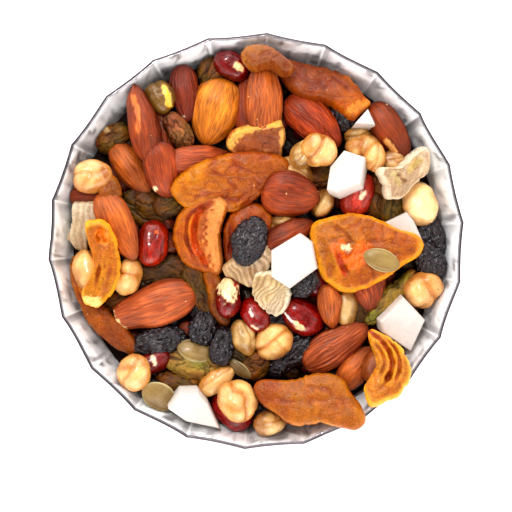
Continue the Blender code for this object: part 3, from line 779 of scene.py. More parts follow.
def almondShape(piece, shift):
    a = almondValues
    place, turn, girth, points, out, faces = blankOf(piece)
    depth = a["ridgeDepth"] * piece.looks.get("ridges", a["usualRidges"])
    fade = (1 - place ** 2) ** 0.4
    round3 = np.column_stack([np.cos(turn) * 1.3, np.sin(turn) * 1.3, place * 1.5])
    wander = 1.5 * softNoise(round3, shift) + 0.5 * softNoise(round3 * 2.6, shift + 2)
    count = a["ridges"] + round(2 * math.sin(shift))
    wave = np.cos(count * turn + a["waver"] * wander)
    strength = 0.65 + 0.5 * softNoise(round3 * [1.6, 1.6, 1.2], shift + 4)
    lines = np.column_stack([np.cos(turn) * 6.5, np.sin(turn) * 6.5, place * 1.3])
    fine = softNoise(lines, shift + 6)
    keel = np.exp(-((turn - math.pi / 2) / a["keelWidth"]) ** 2) * piece.looks.get("keel", 0.0)
    chip = (piece.looks.get("chip", 2.0) + 0.05 * softNoise(points / 1.5, shift + 12)) * piece.length / 2
    relief = fade * (depth * strength * 0.55 * wave + 0.10 * fine)
    relief = relief + 0.22 * softNoise(points / 5.5, shift + 8) + keel
    # hollow is high in the grooves, for painted shade, and below zero on the crests, for a painted highlight
    hollow = np.clip(0.5 - 0.5 * wave * np.clip(strength, 0, 1) - 0.2 * fine, 0, 1)
    hollow = hollow * min(1.0, 0.25 + 2.0 * depth) * fade
    hollow = hollow - 0.42 * np.clip(wave * strength, 0, 1) * min(1.0, 2.6 * depth) * fade
    grain = np.column_stack([np.cos(turn) * 4.5, np.sin(turn) * 4.5, place * 1.6]) + shift
    made = points + out * relief[:, None]
    if "chip" in piece.looks:
        wanted = 0.54 + 0.5 * (0.95 - place)
        made[:, 1:] *= np.where(place > 0.3, np.maximum(1, wanted / np.maximum(girth, 0.1)), 1)[:, None]
    made[:, 0] = np.minimum(made[:, 0], chip + 0.04 * (made[:, 0] - chip))
    return made, faces, hollow, grain


chickpeaValues = {"valleyWidth": 0.24, "cleftWidth": 0.085, "secondWidth": 0.16, "beak": 0.5}


def chickpeaShape(piece, shift):
    # two or three rounded lobes that meet in soft valleys, and a small beak
    c = chickpeaValues
    place, turn, girth, points, out, faces = blankOf(piece)
    deep = 1.0 if "cleft" in piece.looks else 0.5 if piece.kind == "chickpea" else 0.1
    upper = smooth(-0.3, 0.4, girth * np.sin(turn))
    across = girth * np.cos(turn)
    way, offset = piece.looks.get("cleft", ("along", 0.25 + 0.2 * math.sin(shift)))
    side = (across if way == "along" else place) + 0.16 * softNoise(points / 4.5, shift + 2) - offset
    valley = np.exp(-(side / c["valleyWidth"]) ** 2) * upper
    cleft = np.exp(-(side / c["cleftWidth"]) ** 2) * upper
    lean = 0.7 * math.sin(2.3 * shift)
    other = (place if way == "along" else across) + lean * across - 0.45 * math.cos(shift)
    other = other + 0.15 * softNoise(points / 4, shift + 3)
    onSide = smooth(-0.1, 0.3, side * np.sign(math.sin(1.3 * shift)))
    second = np.exp(-(other / c["secondWidth"]) ** 2) * upper * onSide
    second = second * min(1.0, 2 * deep)
    relief = -deep * (0.75 * valley + 0.30 * cleft) - 0.30 * second + 0.26 * softNoise(points / 3.4, shift)
    relief = relief + 0.35 * deep + 0.05 * softNoise(points / 1.4, shift + 4)
    made = points + out * relief[:, None]
    made[:, 0] += smooth(0.75, 1.0, place) * c["beak"]
    hollow = np.clip(0.42 * deep * cleft + 0.30 * deep * valley + 0.30 * second, 0, 1)
    return made, faces, hollow, points / 2 + shift


def peanutShape(piece, shift):
    place, turn, girth, points, out, faces = blankOf(piece)
    lines = np.column_stack([np.cos(turn) * 3.4, np.sin(turn) * 3.4, place * 1.6])
    lines = lines + 0.3 * softNoise(points / 3, shift + 2)[:, None]
    groove = np.exp(-(softNoise(lines, shift) / 0.14) ** 2) * girth
    relief = -0.12 * groove - 0.25 * np.exp(-(place / 0.3) ** 2) + 0.25 * softNoise(points / 4, shift + 6)
    return points + out * relief[:, None], faces, groove * 0.6, points / 2 + shift


# pebbles are depth in mm, size in mm and a shift of the noise
raisinValues = {
    "raisin": {
        "stretch": (0.36, 0.56, 0.56), "creases": 0.66, "fine": 0.34,
        "pebbles": ((0.20, 1.05, 15), (0.10, 0.6, 16)),
    },
    "greenRaisin": {"stretch": (0.12, 0.46, 0.46), "creases": 0.55, "fine": 0.20, "pebbles": ()},
}


def raisinShape(piece, shift):
    r = raisinValues[piece.kind]
    _, _, girth, points, out, faces = blankOf(piece)
    warped = points + 0.9 * np.column_stack([softNoise(points / 2.6, shift + n) for n in (11, 12, 13)])
    stretch = np.array(r["stretch"])
    crease = np.exp(-(softNoise(warped * stretch, shift) / 0.17) ** 2)
    fine = np.exp(-(softNoise(warped * stretch * 2.3, shift + 5) / 0.2) ** 2)
    fade = np.clip(girth, 0, 1) ** 0.5 * 0.7 + 0.3
    relief = -(r["creases"] * crease + r["fine"] * fine) * fade + 0.45 * softNoise(points / 4.5, shift + 9) + 0.15
    for depth, size, apart in r["pebbles"]:
        relief = relief + depth * softNoise(points / size, shift + apart)
    # creases are darkened as painted shade through hollow
    hollow = np.clip(crease + 0.6 * fine, 0, 1)
    return points + out * relief[:, None], faces, hollow, points / 2 + shift


def seedShape(piece, shift):
    place, turn, girth, points, _, faces = blankOf(piece)
    across = np.abs(np.cos(turn))
    ring = np.exp(-((across - 0.90) / 0.05) ** 2)
    dip = np.exp(-((across - 0.78) / 0.07) ** 2)
    relief = 0.16 * ring - 0.16 * dip + 0.14 * softNoise(points / 3, shift)
    made = points + np.column_stack([0 * place, 0 * place, np.sign(np.sin(turn)) * relief * girth])
    return made, faces, np.clip(smooth(0.86, 0.97, across) * girth, 0, 1), points / 2 + shift


nutMakers = {
    "almond": almondShape, "chickpea": chickpeaShape, "hazelnut": chickpeaShape, "peanut": peanutShape,
    "raisin": raisinShape, "greenRaisin": raisinShape, "seed": seedShape,
}


def nutTint(piece, points, hollow, shift):
    # the main tone with patches a little darker, lighter, redder or yellower, then painted shade and painted
    # highlights
    tone = np.array(linear(tones[piece.kind][piece.looks.get("tone", "plain")]))
    vary = roughNoise(points / 5, shift + 20)
    tint = tone * (1 + 0.22 * vary[:, None] * np.array([0.8, 1.0, 1.1, 0]))
    if piece.kind == "greenRaisin":
        drift = softNoise(points / 5, shift + 25) + 0.2
        tint = tint * (1 + 0.24 * drift[:, None] * np.array([-0.6, 0.5, -0.2, 0]))
    # painted shade: darker low on the flanks
    flank = flankShade.get(piece.kind, 0.0) * (1 - smooth(0.0, 0.85, points[:, 2] / (piece.height / 2)))
    tint = tint * (1 - flank[:, None] * np.array([0.8, 1.0, 1.0, 0]))
    # painted highlight: crests, where hollow is below zero, are lighter
    tint = tint * (1 + np.clip(-hollow, 0, 1)[:, None] * np.array([0.6, 0.85, 0.95, 0]))
    if piece.kind in ("chickpea", "hazelnut"):
        # caramel in browned patches; the same caramel low on the flanks and in the valleys is painted shade
        caramel = np.array(linear("#C98830"))
        level = points[:, 2] / (piece.height / 2)
        low = smooth(0.55, -0.5, level)
        patch = smooth(0.15, 0.9, roughNoise(points / 3.5, shift + 30))
        caramelAndShadeShare = np.clip(0.70 * low + 0.22 * patch + 0.25 * hollow, 0, 0.85)
        # painted highlight: paler towards the top
        pale = 0.4 * smooth(0.45, 1.0, level + 0.3 * softNoise(points / 3, shift + 33))
        pale = pale * (1 - np.clip(2 * hollow, 0, 1))
        peeled = piece.looks.get("tone") not in ("skin", "olive")
        tint = blendOf(tint, caramel, caramelAndShadeShare * peeled)
        tint = blendOf(tint, np.array(linear("#F8D490")), pale * peeled)
    if piece.kind == "seed":
        tint = blendOf(tint, np.array(linear("#C9BE8E")), 0.6 * hollow)
    tint[:, 3] = 1.0
    return np.clip(tint, 0, 1)


def nutPart(piece, x, y, z, slope, shift):
    points, faces, hollow, grain = nutMakers[piece.kind](piece, shift)
    tint = nutTint(piece, points, hollow, shift)
    world = placed(points, math.radians(piece.turn), slope, (x, y, z))
    tint, bare = paintMarks(world, tint, piece.looks.get("marks", ()), shift)
    return world, *faces, {"tint": tint, "grain": grain, "hollow": np.clip(hollow, 0, 1) * (1 - bare), "bare": bare}


# Slabs: dried apricots, ginger and coconut, cut from their outlines

slabShapes = {
    "apricot": {
        "edgeStep": 0.55, "rings": 30, "under": 7, "wrinkle": 0.16, "edgeWave": 0.15, "edge": (0.93, 0.96, 0.985, 1.0),
    },
    "ginger": {
        "edgeStep": 0.5, "rings": 26, "under": 6, "wrinkle": 0.12, "edgeWave": 0.3, "edge": (0.93, 0.96, 0.985, 1.0),
    },
    "coconut": {
        "edgeStep": 0.6, "rings": 14, "under": 6, "wrinkle": 0.03, "edgeWave": 0.0, "edge": (0.94, 0.97, 0.99, 1.0),
    },
}


def slabTurns(piece, step):
    # angles at even steps along the outline, with a coconut piece's corners kept
    centre, angles, reaches = reachOf(piece)
    dense = outlineOf(piece)
    closed = np.vstack([dense, dense[:1]])
    run = np.concatenate([[0], np.cumsum(np.linalg.norm(np.diff(closed, axis=0), axis=1))])
    count = int(run[-1] / step)
    spots = np.column_stack([np.interp(np.arange(count) * run[-1] / count, run, closed[:, i]) for i in (0, 1)])
    turns = np.arctan2(spots[:, 1] - centre[1], spots[:, 0] - centre[0])
    if piece.kind == "coconut":
        corners = cornersOf(piece) - centre
        turns = np.concatenate([turns, np.arctan2(corners[:, 1], corners[:, 0])])
    return np.unique(np.round(turns, 5)), angles, reaches, centre


def slabPart(piece, x, y, z, slope, shift):
    values = slabShapes[piece.kind]
    looks = piece.looks
    turns, angles, reaches, centre = slabTurns(piece, values["edgeStep"])
    count = len(turns)
    ring = np.column_stack([np.cos(turns), np.sin(turns), 0 * turns])
    reach = reachAt(turns, angles, reaches) + values["edgeWave"] * softNoise(ring * 6, shift)
    ragged = softNoise(ring * 4, shift + 1) + 0.5 * softNoise(ring * 10, shift + 2)
    reach -= looks.get("torn", 0.0) * 1.3 * np.clip(ragged, 0, 1)
    upper = [(share, 1) for share in np.concatenate([np.linspace(0, 0.9, values["rings"] + 1)[1:], values["edge"]])]
    lower = [(share, -1) for share in [0.985, 0.94, *np.linspace(0.85, 0.15, values["under"] - 2)]]
    shares = np.array(upper + lower)
    share = np.concatenate([np.repeat(shares[:, 0], count), [0.0, 0.0]])
    face = np.concatenate([np.repeat(shares[:, 1], count), [1, -1]])
    turn = np.concatenate([np.tile(turns, len(shares)), [0.0, 0.0]])
    out = np.concatenate([np.tile(reach, len(shares)), [0.0, 0.0]]) * share
    flat = np.column_stack([out * np.cos(turn), out * np.sin(turn)])
    lift = face * piece.height / 2 * thicknessShare(piece.kind, share)
    where = np.column_stack([flat + centre, np.zeros(len(flat))])
    upperSide = face > 0
    inner = 1 - smooth(0.9, 1.0, share)
    within = 1 - 0.8 * smooth(0.80, 0.97, share)
    relief, hollow = np.zeros(len(flat)), np.zeros(len(flat))
    for depth, width, *places in looks.get("folds", ()):
        line = softLine([fromPhoto(*p) for p in places])
        away, along = strokeDistance(where[:, :2], line)
        away = away + 0.45 * width * softNoise(where / 2.2, shift + 2)
        ends = smooth(0.0, 0.18, along) * smooth(1.0, 0.82, along) * 0.8 + 0.2
        strong = ends * np.clip(0.8 + 0.7 * softNoise(where / 4.0, shift + 3), 0.15, 1.2)
        fold = -depth * np.exp(-(away / width) ** 2) + 0.3 * depth * np.exp(-((away - 2.1 * width) / width) ** 2)
        relief += fold * within * strong
        shadow = np.exp(-(away / (0.8 * width)) ** 2) * min(1.0, depth / 0.9)
        hollow = np.maximum(hollow, shadow * within * strong)
    wrinkle = looks.get("wrinkle", values["wrinkle"])
    warped = where / 3.4 + 0.5 * softNoise(where / 5, shift + 4)[:, None]
    crinkle = np.exp(-(softNoise(warped * [1.0, 1.5, 1], shift + 6) / 0.16) ** 2)
    relief += wrinkle * (-1.1 * crinkle + 0.8 * roughNoise(where / 4.2, shift + 7))
    # crinkles darken too, as painted shade
    hollow = np.maximum(hollow, 0.55 * crinkle * min(1.0, wrinkle / 0.4))
    if "fibres" in looks:
        turnDeg, spacing, depth, waves = looks["fibres"]
        a = math.radians(turnDeg)
        across = -where[:, 0] * math.sin(a) + where[:, 1] * math.cos(a)
        ridges = np.sin(2 * math.pi * across / spacing + waves * softNoise(where / 3.4, shift + 8))
        relief += depth * ridges
        # painted shade between the fibres
        hollow = np.maximum(hollow, min(0.5, 2.2 * depth) * smooth(0.2, -0.9, ridges))
    lipHeight = looks.get("lip", 0.15)
    lip = np.exp(-((share - 0.90) / 0.06) ** 2)
    relief += lipHeight * lip - 0.3 * lipHeight
    lift = lift + np.where(upperSide, relief * inner, -0.3 * relief * inner)
    points = np.column_stack([flat, lift])
    if piece.kind == "coconut":
        tint = np.tile(linear("#CAC1BA"), (len(points), 1))
        tint = tint * (1 - 0.05 * np.clip(roughNoise(where / 5, shift), -1, 1))[:, None]
    else:
        first, second = (np.array(linear(c)) for c in looks["tones"])
        a, b = (np.array(fromPhoto(*p)) for p in looks["sweep"])
        sweep = (where[:, :2] - a) @ (b - a) / ((b - a) @ (b - a)) + 0.25 * softNoise(where / 4, shift + 10)
        tint = blendOf(first, second, smooth(0.0, 1.0, sweep))
        tint = tint * (1 + 0.11 * roughNoise(where / 3.5, shift + 12)[:, None] * np.array([0.7, 1.0, 1.0, 0]))
        # painted light and shade: on an apricot, raised parts are lighter and yellower, low parts darker
        height = np.clip(relief / max(0.25, wrinkle * 1.6), -1, 1) if piece.kind == "apricot" else 0 * relief
        tint = tint * (1 + height[:, None] * np.array([0.12, 0.30, 0.42, 0]))
        # a paler rim: the rim tone where one is given, else a lighter tint; partly the rim's own colour, partly
        # painted light through the thin edge
        rim = np.array(linear(looks["lipTone"])) if "lipTone" in looks else np.clip(tint * [1.15, 1.25, 1.2, 1], 0, 1)
        tint = blendOf(tint, rim, smooth(0.86, 0.97, share) * (0.8 if "lipTone" in looks else 0.55))
    tint[:, 3] = 1.0
    world = placed(points, 0.0, slope, (x, y, z))
    tint, bare = paintMarks(world, np.clip(tint, 0, 1), looks.get("marks", ()), shift)
    quads, tris = skinFaces(len(shares), count, inwards=True)
    sugar = np.full(len(points), float(looks.get("sugar", 0.35)))
    grain = np.column_stack([flat, lift]) / 2 + shift
    return world, quads, tris, {"tint": tint, "grain": grain, "hollow": hollow * (1 - bare), "bare": sugar}


# Materials, each named for the real surface
foodLooks = {
    # "noise" is drawn over 2 mm: its stretch, its scale and how much finer the specks are. "vary" is how
    # far patches and specks stray from the tint, "groove" how far painted shade darkens a groove and to
    # what colour, "rough" the roughness from low to high, and "bump" is in millimetres.
    "almond": {
        # roasted almond with its skin on: dry, finely ridged, a dull sheen along the ridges
        "name": "RoastedAlmondSkin", "noise": ((1.0, 1.0, 0.6), 1.1, 3.4), "vary": (0.22, 0.34),
        "groove": (0.72, "#A8603C"), "rough": (0.28, 0.56), "bump": 0.20,
        "shader": {"Specular IOR Level": 0.45, "IOR": 1.45},
    },
    "apricot": {
        # dried apricot: sticky, half clear flesh with a leathery skin, so edges glow; creases are darkened with
        # painted shade
        "name": "DriedApricot", "noise": ((1.0, 1.0, 1.0), 0.8, 4.2), "vary": (0.16, 0.17),
        "groove": (0.75, "#C46C26"), "rough": (0.22, 0.50), "bump": 0.20,
        "shader": {
            "Subsurface Weight": 0.25, "Subsurface Scale": 0.002, "Subsurface Radius": (1.0, 0.45, 0.10),
            "Specular IOR Level": 0.36, "IOR": 1.46,
        },
    },
    "raisin": {
        # black raisin: near-black skin shrunk to pebbly wrinkles
        "name": "BlackRaisin", "noise": ((1.0, 1.0, 1.0), 1.2, 3.2), "vary": (0.35, 0.5),
        "groove": (0.9, "#504A4C"), "rough": (0.20, 0.46), "bump": 0.13, "shader": {"Specular IOR Level": 0.55},
    },
    "greenRaisin": {
        # green raisin: half clear olive skin in long wrinkles, a little sticky
        "name": "GreenRaisin", "noise": ((0.5, 1.0, 1.0), 1.0, 3.6), "vary": (0.30, 0.28),
        "groove": (0.8, "#8C7C4C"), "rough": (0.40, 0.62), "bump": 0.10,
        "shader": {
            "Subsurface Weight": 0.15, "Subsurface Scale": 0.0015, "Subsurface Radius": (1.0, 0.8, 0.3),
            "Specular IOR Level": 0.28,
        },
    },
    "chickpea": {
        # peeled roasted chickpea: smooth and oily, cream with caramel where it browned, and painted shade low on its
        # flanks and in its valleys
        "name": "RoastedChickpea", "noise": ((1.0, 1.0, 1.0), 0.7, 4.0), "vary": (0.08, 0.03),
        "groove": (0.9, "#DDB468"), "rough": (0.20, 0.36), "bump": 0.03,
        "shader": {
            "Subsurface Weight": 0.12, "Subsurface Scale": 0.0015, "Subsurface Radius": (1.0, 0.7, 0.35),
            "Coat Weight": 0.15, "Coat Roughness": 0.25, "Specular IOR Level": 0.5,
        },
    },
    "peanut": {
        # fried peanut in its red skin: thin, glossy, flaked off in places down to the cream nut
        "name": "RedPeanutSkin", "noise": ((0.35, 1.0, 1.0), 1.3, 3.2), "vary": (0.35, 0.3),
        "groove": (0.7, "#8C4C40"), "rough": (0.12, 0.32), "bump": 0.06,
        "shader": {"Coat Weight": 0.2, "Coat Roughness": 0.18, "Specular IOR Level": 0.40},
    },
    "coconut": {
        # cut coconut: dense white flesh, dull, with a faint waxy depth
        "name": "CutCoconut", "noise": ((1.0, 1.0, 1.0), 0.6, 3.0), "vary": (0.03, 0.02),
        "groove": (0.3, "#E8DCD4"), "rough": (0.45, 0.60), "bump": 0.03,
        "shader": {
            "Subsurface Weight": 0.15, "Subsurface Scale": 0.001, "Subsurface Radius": (1.0, 0.9, 0.8),
            "Specular IOR Level": 0.35,
        },
    },
    "ginger": {
        # candied ginger: pale, half clear fibrous slices
        "name": "CandiedGinger", "noise": ((1.0, 1.0, 1.0), 0.9, 3.6), "vary": (0.10, 0.10),
        "groove": (0.9, "#C49C64"), "rough": (0.22, 0.42), "bump": 0.07,
        "shader": {
            "Subsurface Weight": 0.30, "Subsurface Scale": 0.002, "Subsurface Radius": (1.0, 0.75, 0.4),
            "Specular IOR Level": 0.5,
        },
    },
    "seed": {
        # shelled pumpkin seed: smooth olive skin with a satin face
        "name": "PumpkinSeed", "noise": ((0.4, 1.0, 1.0), 1.0, 3.4), "vary": (0.10, 0.08),
        "groove": (0.0, "#FFFFFF"), "rough": (0.26, 0.40), "bump": 0.02, "shader": {"Specular IOR Level": 0.45},
    },
}
foodLooks["hazelnut"] = foodLooks["chickpea"]
# broken nuts, skins and small dried fruit down in the gaps: dull, with tints darkened as painted shade of the gaps
foodLooks["broken"] = {**foodLooks["raisin"], "name": "BrokenNutsAndFruit", "shader": {"Specular IOR Level": 0.35}}
# crumbs of nut meal and flakes of skin: dry and chalky
foodLooks["meal"] = {**foodLooks["coconut"], "name": "NutMeal", "shader": {"Specular IOR Level": 0.3}}


def newMaterial(name):
    made = bpy.data.materials.new(name)
    made.use_nodes = True
    return made, made.node_tree, made.node_tree.nodes["Principled BSDF"]


def sugared(tree, colour, drawn, sugar):
    # sugar grains, drawn as pale dots that also stand for painted glints, thicker in places
    grit = put(tree, "ShaderNodeTexVoronoi", named={"Vector": drawn, "Scale": 2.4, "Randomness": 1.0})
    drift = put(tree, "ShaderNodeTexNoise", named={"Vector": drawn, "Scale": 0.55, "Detail": 2.0})
    point = put(tree, "ShaderNodeMapRange", grit, 0.06, 0.24, 0.55, 0.0)
    thick = put(tree, "ShaderNodeMapRange", drift, 0.46, 0.64, 0.0, 1.0)
    share = put(tree, "ShaderNodeMath", point, thick, operation="MULTIPLY")
    share = put(tree, "ShaderNodeMath", share, sugar, operation="MULTIPLY")
    return put(tree, "ShaderNodeMix", data_type="RGBA", named={0: share, 6: colour, 7: "#F4B866"}, out=2)


def bloomWithGlints(tree, colour, drawn):
    # the pale bluish bloom on a black raisin, lighter in spots that also stand for painted glints off its pebbles
    bloomGlintNoise = put(tree, "ShaderNodeTexNoise", named={"Vector": drawn, "Scale": 3.4, "Detail": 2.0, "Roughness": 0.6})
    share = put(tree, "ShaderNodeMapRange", bloomGlintNoise, 0.54, 0.74, 0.0, 0.38)
    return put(tree, "ShaderNodeMix", data_type="RGBA", named={0: share, 6: colour, 7: "#626A84"}, out=2)


def foodMaterial(kind):
    look = foodLooks[kind]
    made, tree, shader = newMaterial(look["name"])
    tint, grain, hollow, bare = (
        put(tree, "ShaderNodeAttribute", attribute_name=name, out=out)
        for name, out in (("tint", "Color"), ("grain", "Vector"), ("hollow", "Fac"), ("bare", "Fac"))
    )
    stretch, scale, finer = look["noise"]
    patchy, speckled = look["vary"]
    darkens, deep = look["groove"]
    drawn = put(tree, "ShaderNodeVectorMath", grain, stretch, operation="MULTIPLY")
    broad, fine = (
        put(tree, "ShaderNodeTexNoise", named={"Vector": drawn, "Scale": size, "Detail": detail, "Roughness": rough})
        for size, detail, rough in ((scale, 2.0, 0.55), (scale * finer, 1.5, 0.6))
    )
    patches = put(tree, "ShaderNodeMapRange", broad, 0.32, 0.68, 1 - patchy, 1 + patchy)
    specks = put(tree, "ShaderNodeMapRange", fine, 0.30, 0.70, 1 - speckled, 1 + speckled)
    shade = put(tree, "ShaderNodeMath", patches, specks, operation="MULTIPLY")
    colour = put(tree, "ShaderNodeVectorMath", tint, operation="SCALE", named={"Scale": shade})
    # painted shade: the colour darkens towards the groove colour where hollow is high, in valleys, creases, folds and
    # between fibres
    depth = put(tree, "ShaderNodeMath", hollow, darkens, operation="MULTIPLY")
    grooved = {0: depth, 6: colour, 7: deep}
    colour = put(tree, "ShaderNodeMix", data_type="RGBA", blend_type="MULTIPLY", named=grooved, out=2)
    if kind == "apricot":
        colour = sugared(tree, colour, drawn, bare)
    if kind == "raisin":
        colour = bloomWithGlints(tree, colour, drawn)
    rough = put(tree, "ShaderNodeMapRange", fine, 0.3, 0.7, *look["rough"])
    relief = put(tree, "ShaderNodeMath", broad, 0.8, fine, operation="MULTIPLY_ADD")
    bump = put(tree, "ShaderNodeBump", named={"Strength": 0.9, "Distance": look["bump"] * mm, "Height": relief})
    join(tree, shader, {"Base Color": colour, "Roughness": rough, "Normal": bump, **look["shader"]})
    return made


steelValues = {
    # inside: near-white with grey patches, a painted reflection of a pale studio; where the patches are, the steel is
    # smoother too
    "inside": ("#FFFFFF", "#767074"), "outside": ("#6C686B", "#A19DA0"), "lipDarkReflection": "#463C40",
    "rough": (0.34, 0.20),  # plain and polished
    "metallic": (0.85, 0.08),  # outside and inside
    "hammerScale": 300.0, "hammerDepth": 0.35, "brush": (25.0, 25.0, 1600.0),
}


def bowlSteel():
    # thin pressed stainless steel, hammered in panels. The inside is painted near-white satin with
    # greyer patches, a painted reflection of a pale studio that isn't built, so it's hardly metallic. The outside
    # is brushed metal, and the outer part of the rim's lip carries a dark line of painted reflection.
    v = steelValues
    made, tree, shader = newMaterial("PressedSteel")
    place = put(tree, "ShaderNodeTexCoord", out="Object")
    lip, polish, inner = (
        put(tree, "ShaderNodeAttribute", attribute_name=name, out="Fac") for name in ("lip", "polish", "inner")
    )
    hammer = put(
        tree, "ShaderNodeTexNoise",
        named={"Vector": place, "Scale": v["hammerScale"], "Detail": 1.0, "Roughness": 0.5},
    )
    # brushed round the outside, with lines drawn half a millimetre wide so that they show
    spun = put(tree, "ShaderNodeVectorMath", place, v["brush"], operation="MULTIPLY")
    brush = put(tree, "ShaderNodeTexNoise", named={"Vector": spun, "Scale": 1.0, "Detail": 2.0, "Roughness": 0.6})
    shine = put(tree, "ShaderNodeMapRange", brush, 0.30, 0.70, 0.0, 1.0)
    within, without = (
        put(tree, "ShaderNodeMix", data_type="RGBA", named={0: share, 6: first, 7: second}, out=2)
        for share, (first, second) in ((polish, v["inside"]), (shine, v["outside"]))
    )
    steel = put(tree, "ShaderNodeMix", data_type="RGBA", named={0: inner, 6: without, 7: within}, out=2)
    flat = put(tree, "ShaderNodeMath", 1.0, lip, operation="SUBTRACT")
    join(tree, shader, {
        "Base Color": put(tree, "ShaderNodeMix", data_type="RGBA", named={0: lip, 6: steel, 7: v["lipDarkReflection"]}, out=2),
        "Roughness": put(tree, "ShaderNodeMapRange", polish, 0.0, 1.0, *v["rough"]),
        "Metallic": put(tree, "ShaderNodeMapRange", inner, 0.0, 1.0, *v["metallic"]),
        "Normal": put(
            tree, "ShaderNodeBump", named={"Strength": flat, "Distance": v["hammerDepth"] * mm, "Height": hammer},
        ),
    })
    return made


def clouded(name, scale, detail, first, second, **values):
    made, tree, shader = newMaterial(name)
    place = put(tree, "ShaderNodeTexCoord", out="Object")
    cloud = put(tree, "ShaderNodeTexNoise", named={"Vector": place, "Scale": scale, "Detail": detail})
    mixed = put(tree, "ShaderNodeMix", data_type="RGBA", named={0: cloud, 6: first, 7: second}, out=2)
    join(tree, shader, {"Base Color": mixed, **values})
    return made


def packedMix():
    # what lies deep in the heap: crumbs and skins coloured near-black as painted shade, since they get almost no light
    shade = {"Roughness": 0.8, "Specular IOR Level": 0.2}
    return clouded("PackedMixInShade", 350.0, 4.0, "#140806", "#2A140C", **shade)


def floorMaterial():
    # matt painted board, glowing a little so that it stays as pale as the photograph's
    glow = {"Emission Color": (1, 1, 1, 1), "Emission Strength": stageValues["floorGlow"]}
    shade = {"Roughness": 0.9, "Specular IOR Level": 0.1}
    return clouded("PaleFloor", 6.0, 2.0, "#F8F8F8", "#FAFAFA", **shade, **glow)


# The bowl: a round blank turned from the profile, then panelled and dented by Geometry Nodes


def turned(profile, turns, *poles):
    # a ring of points round Z for each radius and height, then the poles
    rings = [np.column_stack([r * np.cos(turns), r * np.sin(turns), np.full(len(turns), z)]) for r, z, *_ in profile]
    return np.vstack([*rings, *([0, 0, z] for z in poles)])



def bowlBlank():
    b = bowlValues
    rises = np.linspace(0, 1, b["wallSteps"] + 1)
    outside = [(*outerProfile(r), r, 0.0) for r in rises]
    inside = [(*innerProfile(r), r, 0.0) for r in rises[::-1]]
    innerRings = len(inside) + b["floorSteps"] - 1
    (ro, zo, _, _), (ri, zi, _, _) = outside[-1], inside[0]
    middle, across = np.array([(ro + ri) / 2, (zo + zi) / 2]), np.array([ro - ri, zo - zi]) / 2
    bulge = np.array([-across[1], across[0]]) * b["lipBulge"]
    lip = []
    for step in range(1, b["lipSteps"]):
        a = math.pi * step / b["lipSteps"]
        spot = middle + across * math.cos(a) + bulge * math.sin(a)
        # the outer part of the lip is marked for a painted dark reflection along the rim's edge
        lip.append((spot[0], spot[1], 1.0, 1.0 if step <= b["lipSteps"] * b["lipDarkReflectionShare"] else 0.0))
    outside[-1] = (ro, zo, 1.0, 1.0)
    outside.insert(-1, (*outerProfile(b["lipStart"]), b["lipStart"], 0.0))
    under = [(r, outside[0][1], 0.0, 0.0) for r in np.linspace(0, outside[0][0], b["floorSteps"] + 1)[1:-1]]
    floor = [(r, b["sheet"], 0.0, 0.0) for r in np.linspace(b["footRadius"], 0, b["floorSteps"] + 1)[1:-1]]
    profile = under + outside + lip + inside + floor
    columns = b["panels"] * b["columnsPerPanel"]
    share = np.arange(columns) / b["columnsPerPanel"]
    share = share - b["cornerCrowding"] * np.sin(2 * math.pi * share) / (2 * math.pi)
    turns = math.radians(b["turnDeg"]) + 2 * math.pi * share / b["panels"]
    points = turned(profile, turns, 0.0, b["sheet"])
    rise, lipShare = (np.concatenate([np.repeat([p[i] for p in profile], columns), [0, 0]]) for i in (2, 3))
    isInner = np.arange(len(profile)) >= len(profile) - innerRings
    inner = np.concatenate([np.repeat(isInner, columns), [0, 1]]).astype(float)
    return points, *skinFaces(len(profile), columns), {"rise": rise, "lip": lipShare, "inner": inner}


def newTree(name, inputs):
    # a Geometry Nodes tree with named inputs, which come back by name
    tree = bpy.data.node_groups.new(name, "GeometryNodeTree")
    tree.interface.new_socket("Geometry", in_out="INPUT", socket_type="NodeSocketGeometry")
    tree.interface.new_socket("Geometry", in_out="OUTPUT", socket_type="NodeSocketGeometry")
    for socket, kind in inputs.items():
        tree.interface.new_socket(socket, in_out="INPUT", socket_type="NodeSocket" + kind)
    return tree, {socket.name: socket for socket in put(tree, "NodeGroupInput").outputs}


# The panels step by step: a name, what is done, and its terms, which are numbers, the tree's inputs or
# the names of earlier steps. What is done is a Math operation or one of these: node, inputs, output
# and settings.
stepKinds = {
    "smooth": ("ShaderNodeMapRange", (0, 1, 2, 3, 4), 0, {"interpolation_type": "SMOOTHSTEP"}),
    "smoother": ("ShaderNodeMapRange", (0, 1, 2, 3, 4), 0, {"interpolation_type": "SMOOTHERSTEP"}),
    "straight": ("ShaderNodeMapRange", (0, 1, 2, 3, 4), 0, {}),
    "noise": ("ShaderNodeTexNoise", ("Vector", "W", "Scale", "Detail", "Distortion"), 0, {"noise_dimensions": "4D"}),
    "random": ("FunctionNodeRandomValue", (2, 3, "ID", "Seed"), 1, {"data_type": "FLOAT"}),
    "vector": ("ShaderNodeCombineXYZ", (0, 1, 2), 0, {}),
    "length": ("ShaderNodeVectorMath", (0,), "Value", {"operation": "LENGTH"}),
    "clamped": ("ShaderNodeMath", (0, 1), 0, {"operation": "MAXIMUM", "use_clamp": True}),
}
